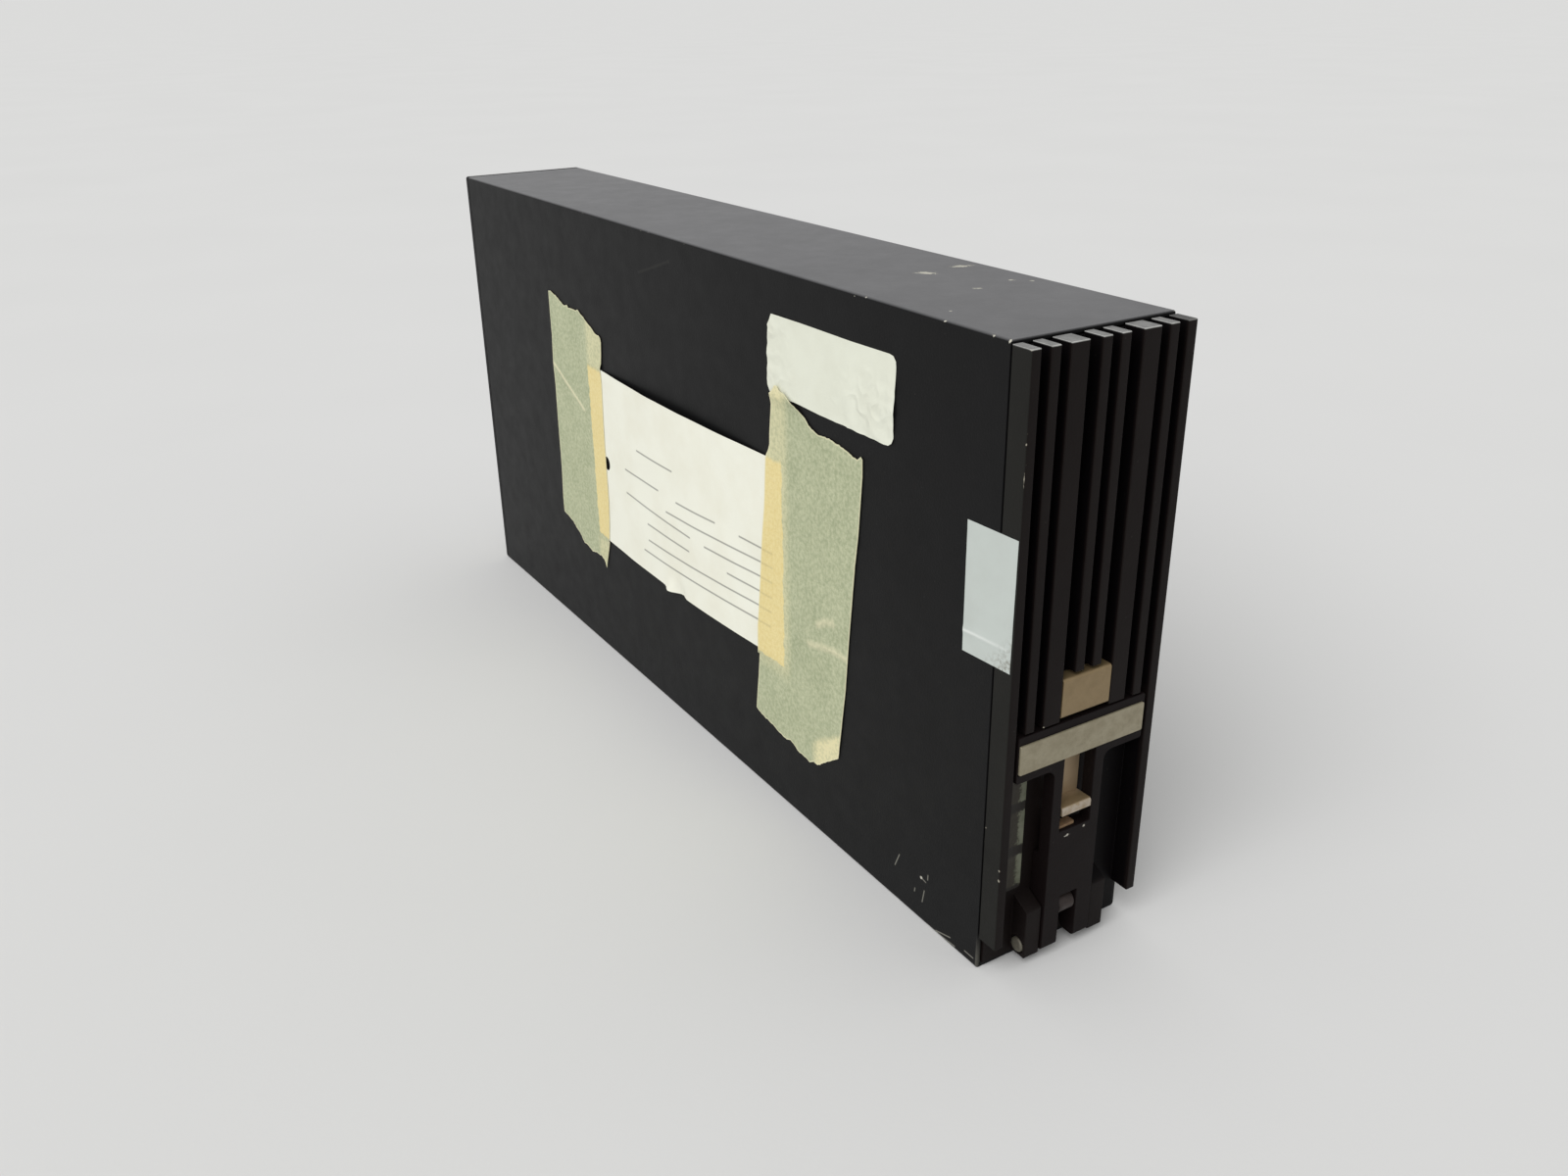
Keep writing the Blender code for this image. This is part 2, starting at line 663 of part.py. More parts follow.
ROLLER_AXIS = Vector((0, forward(ROLLER_REACH), ROLLER_HEIGHT))
roller_pin_end = Vector((STEM_HALF - TINE_WALL, 0, 0))
cut(
    handle,
    rod(
        ROLLER_AXIS - Vector((STEM_HALF + CUT_PAST, 0, 0)),
        ROLLER_AXIS + roller_pin_end,
        ROLLER_PIN_DIAMETER / 2 + SEAT_GAP,
    ),
)
cut(
    handle,
    block(
        (
            -NAMEPLATE_HALF - SEAT_GAP,
            through_front,
            NAMEPLATE_LOW - SEAT_GAP,
        ),
        (
            NAMEPLATE_HALF + SEAT_GAP,
            forward(HANDLE_REACH - NAMEPLATE_POCKET),
            NAMEPLATE_TOP + SEAT_GAP,
        ),
    ),
)

# Nameplate, bonded in the crossbar's shallow pocket
nameplate_back = HANDLE_REACH - NAMEPLATE_POCKET + SEAT_GAP
place(
    "nameplate",
    prism(
        [rectangle(NAMEPLATE_HALF, NAMEPLATE_LOW, NAMEPLATE_TOP, NAMEPLATE_CORNER)],
        NAMEPLATE_THICKNESS,
        ACROSS_Y,
        (0, forward(nameplate_back + NAMEPLATE_THICKNESS / 2), 0),
    ),
    lambda name: finish(name, (0.62, 0.6, 0.54), 0.4, 0.8),
    pivot=handle_pivot,
)

# Extractor roller on its pin, across the slot in the handle's foot
roller_pin_start = ROLLER_AXIS - roller_pin_end
place(
    "roller_pin",
    rod(
        roller_pin_start,
        ROLLER_AXIS + roller_pin_end - Vector((SEAT_GAP, 0, 0)),
        ROLLER_PIN_DIAMETER / 2,
    ),
    steel,
    pivot=handle_pivot,
)
roller_pivot = pivot_at("roller_pivot", ROLLER_AXIS, handle_pivot)
roller_half = SLOT_WIDTH / 2 - SEAT_GAP
roller_radius = ROLLER_DIAMETER / 2
roller_bore = ROLLER_PIN_DIAMETER / 2 + SEAT_GAP
roller_profile = [
    (roller_bore, roller_half),
    (roller_radius - ROLLER_CHAMFER, roller_half),
    (roller_radius, roller_half - ROLLER_CHAMFER),
    (roller_radius, ROLLER_CHAMFER - roller_half),
    (roller_radius - ROLLER_CHAMFER, -roller_half),
    (roller_bore, -roller_half),
]
place(
    "extractor_roller",
    turned(roller_profile, ROLLER_AXIS, (1, 0, 0), sides=32),
    lambda name: finish(name, (0.3, 0.22, 0.18), 0.45, 1.0),
    origin=ROLLER_AXIS,
    pivot=roller_pivot,
)

# Catch lever: thumb pad above the crossbar, strip behind it, and a lipped tab in the window
catch_pivot = pivot_at("catch_pivot", CATCH_PIVOT)
lever_loop = rounded(
    [
        (forward(FIN_REACH - PAD_FLANGE), PAD_TOP),
        (forward(FIN_REACH), PAD_TOP),
        (forward(FIN_REACH), PAD_LOW),
        (forward(STRIP_FRONT), PAD_LOW),
        (forward(STRIP_FRONT), TAB_TOP),
        (forward(TAB_REACH), TAB_TOP),
        (forward(TAB_REACH), TAB_TOP - LIP_HEIGHT),
        (forward(TAB_REACH - SHEET), TAB_TOP - LIP_HEIGHT),
        (forward(TAB_REACH - SHEET), TAB_TOP - SHEET),
        (forward(STRIP_FRONT), TAB_TOP - SHEET),
        (forward(STRIP_FRONT), SILL + STRIP_ABOVE_SILL),
        (forward(STRIP_BACK), SILL + STRIP_ABOVE_SILL),
        (forward(STRIP_BACK), PAD_LOW + SHEET),
        (forward(FIN_REACH - SHEET), PAD_LOW + SHEET),
        (forward(FIN_REACH - SHEET), PAD_TOP - SHEET),
        (forward(FIN_REACH - PAD_FLANGE), PAD_TOP - SHEET),
    ],
    [0, BEND_RADIUS, BEND_RADIUS, 0, 0, BEND_RADIUS, 0, 0, 0, 0, 0, 0, BEND_RADIUS, 0, 0, 0],
)
lever = place(
    "catch_lever",
    prism([lever_loop], 2 * PAD_HALF, ACROSS_X, (0, 0, 0)),
    lambda name: finish(name, (0.5, 0.42, 0.32), 0.38, 1.0),
    origin=CATCH_PIVOT,
    pivot=catch_pivot,
)
for side in (-1, 1):
    flank = sorted((side * STRIP_HALF, side * (PAD_HALF + CUT_PAST)))
    cut(
        lever,
        block(
            (flank[0], forward(TAB_REACH + CUT_PAST), SILL - CUT_PAST),
            (flank[1], forward(STRIP_BACK - CUT_PAST), CATCH_PIVOT_HEIGHT - WIDE_STRIP_DROP),
        ),
    )
knuckle_end = Vector((KNUCKLE_HALF, 0, 0))
join(lever, rod(CATCH_PIVOT - knuckle_end, CATCH_PIVOT + knuckle_end, KNUCKLE_DIAMETER / 2))
past_lever = Vector((PAD_HALF + CUT_PAST, 0, 0))
cut(lever, rod(CATCH_PIVOT - past_lever, CATCH_PIVOT + past_lever, CATCH_HOLE_RADIUS))

# Catch pivot pin, across the two lugs
pin_end = Vector((LUG_OUTER, 0, 0))
place("catch_pivot_pin", rod(CATCH_PIVOT - pin_end, CATCH_PIVOT + pin_end, CATCH_PIN_DIAMETER / 2), steel)

# Catch spring, a coil from the pocket's floor to the back of the pad
POINTS_PER_TURN = 10
spring_radius = (SPRING_DIAMETER - SPRING_WIRE) / 2
spring_back = forward(POCKET_REACH + SEAT_GAP + SPRING_WIRE / 2)
spring_front = forward(FIN_REACH - SHEET - SEAT_GAP - SPRING_WIRE / 2)
spring_points = []
for number in range(SPRING_TURNS * POINTS_PER_TURN + 1):
    turn = 2 * math.pi * number / POINTS_PER_TURN
    along = number / (SPRING_TURNS * POINTS_PER_TURN)
    spring_points.append(
        Vector(
            (
                spring_radius * math.cos(turn),
                spring_back + (spring_front - spring_back) * along,
                SPRING_HEIGHT + spring_radius * math.sin(turn),
            )
        )
    )
coil_gap = min(
    (spring_points[i] - spring_points[j]).length
    for i in range(len(spring_points))
    for j in range(i + POINTS_PER_TURN // 2, len(spring_points))
)
print(f"catch_spring: least gap between turns {(coil_gap - SPRING_WIRE) * 1000:.2f} mm")
coil = bpy.data.curves.new("coil", "CURVE")
coil.dimensions = "3D"
coil.bevel_depth = SPRING_WIRE / 2
coil.bevel_resolution = 1
coil.use_fill_caps = True
coil_spline = coil.splines.new("POLY")
coil_spline.points.add(len(spring_points) - 1)
for point, place_of in zip(coil_spline.points, spring_points):
    point.co = (*place_of, 1.0)
coil_object = bpy.data.objects.new("coil", coil)
PARTS.objects.link(coil_object)
place("catch_spring", evaluated(coil_object), steel)

# Rear panel, with the connector's opening and the holes for both sets of screws
SIDES = ((-1, "left"), (1, "right"))
RAIL_PLACES = [
    (side * RAIL_X, z, f"{level}_{name}")
    for side, name in SIDES
    for z, level in ((RAIL_LOW, "lower"), (RAIL_HIGH, "upper"))
]
FLANGE_PLACES = [
    (side * (FLANGE_HALF - FLANGE_END / 2), z, f"{level}_{name}")
    for side, name in SIDES
    for z, level in ((CONNECTOR_LOW + FLANGE_END / 2, "lower"), (FLANGE_TOP - FLANGE_END / 2, "upper"))
]
panel_hole = PANEL_SCREW_DIAMETER / 2 + SEAT_GAP
flange_hole = FLANGE_SCREW_DIAMETER / 2 + SEAT_GAP
panel_loops = [
    rectangle(HALF_WIDTH, 0.0, CASE_HEIGHT, CASE_CORNER_RADIUS),
    rectangle(
        INSERT_WIDTH / 2 + PANEL_OPENING_MARGIN,
        SHROUD_LOW + SHELL_WALL - PANEL_OPENING_MARGIN,
        KEYING_LOW - SHELL_WALL + PANEL_OPENING_MARGIN,
        PANEL_OPENING_MARGIN,
    ),
]
panel_loops += [circle(x, z, panel_hole) for x, z, corner in RAIL_PLACES]
panel_loops += [circle(x, z, flange_hole) for x, z, corner in FLANGE_PLACES]
place(
    "rear_panel",
    prism(panel_loops, REAR_PANEL_THICKNESS, ACROSS_Y, (0, (PANEL_FRONT + PANEL_BACK) / 2, 0)),
    black_paint,
)

# Frame rails from the front's corner sockets to the rear panel, each with its screw
rail_front = BASE_BACK - RAIL_SOCKET_DEPTH + SEAT_GAP
rail_back = PANEL_FRONT - SEAT_GAP
for x, z, corner in RAIL_PLACES:
    half = RAIL_SIZE / 2
    rail = place(
        f"rail_{corner}",
        block((x - half, rail_front, z - half), (x + half, rail_back, z + half)),
        aluminium,
    )
    seat = Vector((x, PANEL_BACK, z))
    hole_start = Vector((x, rail_back + CUT_PAST, z))
    hole_end = seat - Vector((0, PANEL_SCREW_LENGTH + SEAT_GAP, 0))
    cut(rail, rod(hole_start, hole_end, panel_hole))
    rear_screw(
        f"rear_panel_screw_{corner}",
        seat,
        PANEL_SCREW_DIAMETER,
        PANEL_SCREW_HEAD_DIAMETER,
        PANEL_SCREW_LENGTH,
    )

# Card guides, with a groove for each board
guide_front = BASE_BACK + GUIDE_END_GAP
guide_back = SOCKET_FRONT - GUIDE_END_GAP
BOARD_PLACES = (-BOARD_PITCH, 0.0, BOARD_PITCH)
for level in ("lower", "upper"):
    flip = level == "upper"

    def height(z, flip=flip):
        return CASE_HEIGHT - z if flip else z

    guide_z = sorted((height(GUIDE_LOW), height(GUIDE_LOW + GUIDE_HEIGHT)))
    groove_z = sorted((height(GROOVE_FLOOR), height(GUIDE_LOW + GUIDE_HEIGHT + CUT_PAST)))
    guide = place(
        f"{level}_card_guide",
        block((-CARD_HALF, guide_front, guide_z[0]), (CARD_HALF, guide_back, guide_z[1])),
        moulding,
    )
    groove_half = BOARD_THICKNESS / 2 + SEAT_GAP
    for x in BOARD_PLACES:
        cut(
            guide,
            block(
                (x - groove_half, guide_front - CUT_PAST, groove_z[0]),
                (x + groove_half, guide_back + CUT_PAST, groove_z[1]),
            ),
        )

# Boards in the grooves, each with its rear edge in a socket of the backplane
place(
    "backplane_board",
    block(
        (-CARD_HALF, BACKPLANE_FRONT, BACKPLANE_END_SPACE),
        (CARD_HALF, BACKPLANE_BACK, CASE_HEIGHT - BACKPLANE_END_SPACE),
    ),
    laminate,
)
for x, board in zip(BOARD_PLACES, ("interface", "processor", "power")):
    half = BOARD_THICKNESS / 2
    place(
        f"{board}_board",
        block((x - half, BOARD_FRONT, BOARD_LOW), (x + half, BOARD_BACK, BOARD_HIGH)),
        laminate,
    )
    socket_low = BACKPLANE_END_SPACE + SOCKET_END_SPACE
    socket = place(
        f"{board}_socket",
        block(
            (x - SOCKET_THICKNESS / 2, SOCKET_FRONT, socket_low),
            (x + SOCKET_THICKNESS / 2, BACKPLANE_FRONT - SEAT_GAP, CASE_HEIGHT - socket_low),
        ),
        moulding,
    )
    cut(
        socket,
        block(
            (x - half - SEAT_GAP, SOCKET_FRONT - CUT_PAST, socket_low - CUT_PAST),
            (
                x + half + SEAT_GAP,
                SOCKET_FRONT + SOCKET_SLOT_DEPTH,
                CASE_HEIGHT - socket_low + CUT_PAST,
            ),
        ),
    )

# Hexagonal standoffs that carry the backplane from the rear panel
standoff_x = CARD_HALF - STANDOFF_DIAMETER / 2
standoff_low = BACKPLANE_END_SPACE + STANDOFF_INSET
for x, side in ((-standoff_x, "left"), (standoff_x, "right")):
    for z, level in ((standoff_low, "lower"), (CASE_HEIGHT - standoff_low, "upper")):
        start = (x, BACKPLANE_BACK + SEAT_GAP, z)
        end = (x, PANEL_FRONT - SEAT_GAP, z)
        place(f"standoff_{level}_{side}", rod(start, end, STANDOFF_DIAMETER / 2, sides=6), aluminium)

# Rear connector: flanged shell with three contact cavities and a keying bay above them
shell = place(
    "connector_shell",
    prism(
        [rectangle(FLANGE_HALF, CONNECTOR_LOW, FLANGE_TOP, SHELL_CORNER)],
        FLANGE_THICKNESS,
        ACROSS_Y,
        (0, (FLANGE_FRONT + FLANGE_BACK) / 2, 0),
    ),
    aluminium,
)
shroud_front = (FLANGE_FRONT + FLANGE_BACK) / 2
shroud_loop = rectangle(SHROUD_HALF, SHROUD_LOW, SHROUD_TOP, SHELL_CORNER)
join(
    shell,
    prism(
        [shroud_loop],
        SHROUD_BACK - shroud_front,
        ACROSS_Y,
        (0, (shroud_front + SHROUD_BACK) / 2, 0),
    ),
)
half = INSERT_WIDTH / 2
for number, label in enumerate("abc"):
    low = SHROUD_LOW + SHELL_WALL + number * CAVITY_STEP
    high = low + INSERT_HEIGHT
    cut(
        shell,
        block(
            (-half, FLANGE_FRONT - CUT_PAST, low),
            (half, SHROUD_BACK + CUT_PAST, high),
        ),
    )
    place(
        f"connector_insert_{label}",
        block(
            (-half + SEAT_GAP, BACKPLANE_BACK + SEAT_GAP, low + SEAT_GAP),
            (half - SEAT_GAP, SHROUD_BACK - INSERT_RECESS, high - SEAT_GAP),
            INSERT_EDGE,
        ),
        lambda name: finish(name, (0.05, 0.12, 0.08), 0.5, 0.0),
    )
cut(
    shell,
    block(
        (-half, FLANGE_BACK, KEYING_LOW),
        (half, SHROUD_BACK + CUT_PAST, KEYING_LOW + KEYING_HEIGHT),
    ),
)

# Keying posts in the bay
post_z = KEYING_LOW + KEYING_HEIGHT / 2
for number in range(3):
    x = (number - 1) * INSERT_WIDTH / 3
    start = Vector((x, FLANGE_FRONT, post_z))
    end = Vector((x, SHROUD_BACK - POST_RECESS, post_z))
    past = Vector((0, CUT_PAST, 0))
    cut(shell, rod(start - past, end, KEYING_POST_DIAMETER / 2 + SEAT_GAP))
    place(
        f"keying_post_{number + 1}",
        rod(start, end, KEYING_POST_DIAMETER / 2, sides=6),
        steel,
    )


# Connector screws through the flange's corners and the panel
for x, z, corner in FLANGE_PLACES:
    seat = Vector((x, FLANGE_BACK, z))
    past = Vector((0, CUT_PAST, 0))
    cut(shell, rod(seat + past, Vector((x, FLANGE_FRONT, z)) - past, flange_hole))
    rear_screw(
        f"connector_screw_{corner}",
        seat,
        FLANGE_SCREW_DIAMETER,
        FLANGE_SCREW_HEAD_DIAMETER,
        FLANGE_SCREW_LENGTH,
    )


# Parts on the boards: on a board's face, at a distance from the board's middle
def board_face(x, side):
    """The x at which a part sits on this side of the board at x."""
    return x + side * (BOARD_THICKNESS / 2 + SEAT_GAP)


def on_board(name, look, x, side, size, middle, edge=0.0):
    """A block of (thickness, length, height) on a board's face."""
    thickness, length, tall = size
    along, up = middle
    face = board_face(x, side)
    low_x, high_x = sorted((face, face + side * thickness))
    y, z = BOARD_MIDDLE + along, MID_HEIGHT + up
    place(
        name,
        block(
            (low_x, y - length / 2, z - tall / 2),
            (high_x, y + length / 2, z + tall / 2),
            edge,
        ),
        look,
    )


def can_on_board(name, look, x, side, diameter, length, middle):
    """A round can lying along the board on its face."""
    along, up = middle
    centre_x = board_face(x, side) + side * diameter / 2
    start = (centre_x, BOARD_MIDDLE + along - length / 2, MID_HEIGHT + up)
    end = (centre_x, BOARD_MIDDLE + along + length / 2, MID_HEIGHT + up)
    place(name, rod(start, end, diameter / 2), look)


tall_part = OUTER_BAY - SEAT_GAP - SLEEVE_CLEARANCE
chip_size = (CHIP_THICKNESS, CHIP_SIDE, CHIP_SIDE)
on_board("processor_chip", moulding, 0.0, 1, chip_size, CHIP_PLACE, INSERT_EDGE)
on_board("memory_module", moulding, 0.0, 1, MEMORY_SIZE, MEMORY_PLACE, INSERT_EDGE)
on_board("oscillator_can", steel, -BOARD_PITCH, -1, OSCILLATOR_SIZE, OSCILLATOR_PLACE, INSERT_EDGE)
can_on_board(
    "backup_battery", steel, -BOARD_PITCH, -1, BATTERY_DIAMETER, BATTERY_LENGTH, BATTERY_PLACE
)
transformer_size = (tall_part, TRANSFORMER_SIDE, TRANSFORMER_SIDE)
copper_brown = (0.25, 0.16, 0.06)
on_board(
    "transformer",
    lambda name: finish(name, copper_brown, 0.5, 0.0),
    BOARD_PITCH,
    1,
    transformer_size,
    TRANSFORMER_PLACE,
    SHEET,
)
on_board("emi_filter", steel, BOARD_PITCH, 1, FILTER_SIZE, FILTER_PLACE, INSERT_EDGE)
for number in range(2):
    can_on_board(
        f"capacitor_{number + 1}",
        lambda name: finish(name, (0.05, 0.09, 0.22), 0.4, 0.0),
        BOARD_PITCH,
        1,
        tall_part,
        CAPACITOR_LENGTH,
        (CAPACITOR_PLACE[0], CAPACITOR_PLACE[1] + number * CAPACITOR_SPACING),
    )

# Power transistors, bolted flat on the back of the finned front
for number in range(2):
    x_half, depth, tall = TRANSISTOR_SIZE[0] / 2, TRANSISTOR_SIZE[1], TRANSISTOR_SIZE[2]
    centre = (number - 0.5) * TRANSISTOR_SPACING
    start = BASE_BACK + SEAT_GAP
    place(
        f"power_transistor_{number + 1}",
        block(
            (-x_half, start, MID_HEIGHT + centre - tall / 2),
            (x_half, start + depth, MID_HEIGHT + centre + tall / 2),
            INSERT_EDGE,
        ),
        moulding,
    )
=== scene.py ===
import math

import bmesh
import bpy
from mathutils import Matrix, Quaternion, Vector, noise


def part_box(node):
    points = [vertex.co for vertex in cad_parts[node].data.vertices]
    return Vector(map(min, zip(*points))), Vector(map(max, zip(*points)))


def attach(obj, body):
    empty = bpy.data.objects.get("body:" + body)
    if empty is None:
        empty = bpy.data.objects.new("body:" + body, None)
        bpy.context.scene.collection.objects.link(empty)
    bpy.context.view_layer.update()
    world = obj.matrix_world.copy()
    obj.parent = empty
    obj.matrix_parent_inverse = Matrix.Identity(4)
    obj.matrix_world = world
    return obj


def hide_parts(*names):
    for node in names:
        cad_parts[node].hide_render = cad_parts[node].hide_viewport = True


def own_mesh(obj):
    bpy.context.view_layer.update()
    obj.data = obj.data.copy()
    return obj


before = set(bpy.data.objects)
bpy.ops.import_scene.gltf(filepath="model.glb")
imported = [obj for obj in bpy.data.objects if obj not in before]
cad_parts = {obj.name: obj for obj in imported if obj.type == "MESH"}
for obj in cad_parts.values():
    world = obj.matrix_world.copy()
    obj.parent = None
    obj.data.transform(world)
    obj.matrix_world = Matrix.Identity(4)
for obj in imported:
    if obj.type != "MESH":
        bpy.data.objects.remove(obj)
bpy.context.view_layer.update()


# Case sleeve
# One tube of sheet aluminium with rounded long edges, sprayed satin black. Dust with a painted
# sheen lies on the top; edges, corners and the lower front are rubbed and scratched down to the
# metal.
CASE_SIDE, CASE_FRONT, CASE_BACK, CASE_TOP = 28.575, -194.0, 191.2, 194.0
CASE_CORNER, CASE_WALL, CASE_RIM = 1.0, 1.5, 0.25
CASE_BLACK = (0.0057, 0.0057, 0.006, 1)
BARE_METAL = (0.5, 0.485, 0.415, 1)
LINT = (0.07, 0.068, 0.062, 1)
DUST_AND_SHEEN = (0.155, 0.155, 0.16, 1)
CASE_CHIPS = (
    ((5.3, -116.0, CASE_TOP), (4.2, 2.1, 1), (0, 0, -0.89)),
    ((20.6, -113.9, CASE_TOP), (4.6, 1.8, 1), (0, 0, -0.25)),
    ((3.5, -142.3, CASE_TOP), (1.6, 0.8, 1), (0, 0, -0.6)),
    ((19.0, -139.0, CASE_TOP), (1.4, 0.75, 1), (0, 0, -0.9)),
    ((23.1, -143.4, CASE_TOP), (1.0, 0.6, 1), (0, 0, -1.0)),
    ((-20.9, -160.7, CASE_TOP), (0.6, 0.6, 1)),
    ((-28.4, -132.0, 193.8), (0.4, 0.5, 0.4)),
    ((-28.4, -167.8, 193.7), (0.45, 0.7, 0.45)),
    ((-28.4, -187.2, 193.8), (0.5, 0.7, 0.5)),
    ((-28.4, -193.6, 193.6), (0.6, 0.6, 0.6)),
    ((28.4, -193.6, 193.8), (0.8, 0.8, 0.6)),
    ((-CASE_SIDE, -166.0, 16.1), (1, 0.75, 0.65)),
    ((CASE_SIDE, 130.0, 171.0), (1, 6.0, 0.35), (0.5, 0, 0)),
    ((CASE_SIDE, 124.0, 166.5), (1, 3.0, 0.3), (0.55, 0, 0)),
    ((CASE_SIDE, -60.0, 22.0), (1, 1.1, 0.9)),
    ((28.5, 60.0, 193.8), (0.6, 2.2, 0.6)),
    ((28.5, -20.0, 0.3), (0.6, 3.5, 0.6)),
)
SIDE_SCRATCHES = (
    ((-154.3, 18.0), (-152.1, 12.8)), ((-169.3, 19.1), (-169.2, 17.3)),
    ((-166.7, 16.1), (-168.3, 15.8)), ((-167.7, 12.2), (-166.8, 7.4)),
    ((-162.9, 10.3), (-162.7, 9.0)), ((-151.2, 0.5), (-155.2, 0.4)),
    ((-169.6, 0.5), (-176.7, 0.7)), ((-176.7, 0.7), (-183.6, 1.2)),
    ((-174.2, 1.0), (-181.3, 3.0)), ((-188.4, 2.8), (-192.4, 2.8)),
)
FAINT_SCRATCHES = (((13.7, 177.7), (-11.6, 185.5)),)
SURFACE = {"colour": "Color", "roughness": "Float", "height": "Float"}
MASK = {"mask": "Float"}
PAINT_RELIEF = 0.00004
SMOOTH_UP_TO = math.radians(42)


def join(value, socket):
    value.id_data.links.new(value, socket)


def add(kind, inputs, **settings):
    """A shader node next to the sockets that feed it; its other inputs are set to values."""
    linked = {k: v for k, v in inputs.items() if isinstance(v, bpy.types.NodeSocket)}
    node = next(iter(linked.values())).id_data.nodes.new("ShaderNode" + kind)
    for name, value in settings.items():
        setattr(node, name, value)
    for name, value in inputs.items():
        if name in linked:
            join(value, node.inputs[name])
        else:
            node.inputs[name].default_value = value
    return node


def calc(operation, first, *others):
    """Joins values one after the other by one arithmetic operation."""
    for value in others:
        first = add("Math", {0: first, 1: value}, operation=operation).outputs[0]
    return first


def times(*values):
    return calc("MULTIPLY", *values)


def most(*values):
    return calc("MAXIMUM", *values)


def vector_calc(operation, first, second=(0, 0, 0), result="Vector"):
    return add("VectorMath", {0: first, 1: second}, operation=operation).outputs[result]


def stretch(value, low, high, to_low=0.0, to_high=1.0):
    inputs = {0: value, 1: low, 2: high, 3: to_low, 4: to_high}
    return add("MapRange", inputs).outputs[0]


def colour_mix(factor, below, above, blend="MIX"):
    inputs = {0: factor, 6: below, 7: above}
    return add("Mix", inputs, data_type="RGBA", blend_type=blend).outputs[2]


def grain(place, scale, detail=2.0, rough=0.5):
    inputs = {"Vector": place, "Scale": scale, "Detail": detail, "Roughness": rough}
    return add("TexNoise", inputs).outputs[0]


def axes(place):
    return add("SeparateXYZ", {0: place}).outputs


def marked(place, name):
    """The share, from 0 to 1, of a mark that the mesh carries."""
    node = place.id_data.nodes.new("ShaderNodeAttribute")
    node.attribute_name = name
    return node.outputs["Fac"]


def new_effect(name, outputs, **inputs):
    """A node group with named sockets, its given values and its results."""
    group = bpy.data.node_groups.new(name, "ShaderNodeTree")
    for side, sockets in (("INPUT", inputs), ("OUTPUT", outputs)):
        for label, kind in sockets.items():
            group.interface.new_socket(label, in_out=side, socket_type="NodeSocket" + kind)
    given = group.nodes.new("NodeGroupInput").outputs
    result = group.nodes.new("NodeGroupOutput").inputs
    return group, given, result


def give(result, **values):
    for name, value in values.items():
        join(value, result[name])


def effect(group, **inputs):
    """The results of a node group for these inputs."""
    return add("Group", inputs, node_tree=group).outputs


def new_look(name, specular=0.5, metallic=0.0):
    """A material, its shader, and the place on the piece in millimetres."""
    look = bpy.data.materials.new(name)
    look.use_nodes = True
    nodes = look.node_tree.nodes
    shader = nodes["Principled BSDF"]
    shader.inputs["Specular IOR Level"].default_value = specular
    shader.inputs["Metallic"].default_value = metallic
    where = nodes.new("ShaderNodeTexCoord").outputs["Object"]
    place = add("Mapping", {"Vector": where, "Scale": (1000, 1000, 1000)}).outputs[0]
    return look, shader, place


def dress(shader, colour, roughness, height, depth):
    """Joins colour, roughness and relief (depth in metres) to the shader."""
    relief = add("Bump", {"Strength": 1.0, "Distance": depth, "Height": height}).outputs[0]
    join(colour, shader.inputs["Base Color"])
    join(roughness, shader.inputs["Roughness"])
    join(relief, shader.inputs["Normal"])


def paint_film_effect():
    """Mottled paint with lint and peel, worn off marked edges and gone from bare places."""
    group, given, result = new_effect(
        "paint_film", SURFACE, place="Vector", paint="Color", under="Color", gloss="Float",
        edge="Float", wear="Float", bare="Float")
    place = given["place"]
    tone = stretch(grain(place, 0.035, 5.0, 0.6), 0.3, 0.7, 0.88, 1.12)
    shade = colour_mix(1.0, given["paint"], tone, "MULTIPLY")
    specks = add("TexVoronoi", {"Vector": place, "Scale": 0.22}).outputs["Distance"]
    shade = colour_mix(stretch(specks, 0.05, 0.03, 0.0, 0.25), shade, LINT)
    rub = calc("ADD", grain(place, 0.35, 4.0, 0.7), given["wear"])
    rubbed = times(stretch(rub, 0.66, 0.74), given["edge"])
    gone = most(rubbed, given["bare"])
    smudge = stretch(grain(place, 0.11, 6.0, 0.65), 0.3, 0.7, -0.04, 0.04)
    give(result,
         colour=colour_mix(gone, shade, given["under"]),
         roughness=calc("ADD", given["gloss"], smudge, times(gone, 0.2)),
         height=calc("SUBTRACT", grain(place, 1.3), times(gone, 0.9)))
    return group


def chip_effect():
    """A ragged, turned oval about a middle."""
    group, given, result = new_effect("chip", MASK, place="Vector", rag="Float", centre="Vector",
                                     half="Vector", turn="Vector")
    off = vector_calc("SUBTRACT", given["place"], given["centre"])
    off = add("VectorRotate", {"Vector": off, "Rotation": given["turn"]},
              rotation_type="EULER_XYZ", invert=True).outputs[0]
    away = vector_calc("LENGTH", vector_calc("DIVIDE", off, given["half"]), result="Value")
    give(result, mask=stretch(calc("ADD", away, given["rag"]), 1.0, 0.75))
    return group


def line_effect():
    """A straight line seen from the side, fading over its width."""
    group, given, result = new_effect("line", MASK, place="Vector", start="Vector", end="Vector",
                                     width="Float")
    along = vector_calc("SUBTRACT", given["end"], given["start"])
    off = vector_calc("SUBTRACT", given["place"], given["start"])
    off = vector_calc("MULTIPLY", off, (0, 1, 1))
    share = calc("DIVIDE", vector_calc("DOT_PRODUCT", off, along, "Value"),
                 vector_calc("DOT_PRODUCT", along, along, "Value"))
    foot = vector_calc("MULTIPLY", along, stretch(share, 0.0, 1.0))
    away = vector_calc("DISTANCE", off, foot, "Value")
    give(result, mask=stretch(away, given["width"], 0.0))
    return group


paint_film = paint_film_effect()
chip = chip_effect()
line = line_effect()


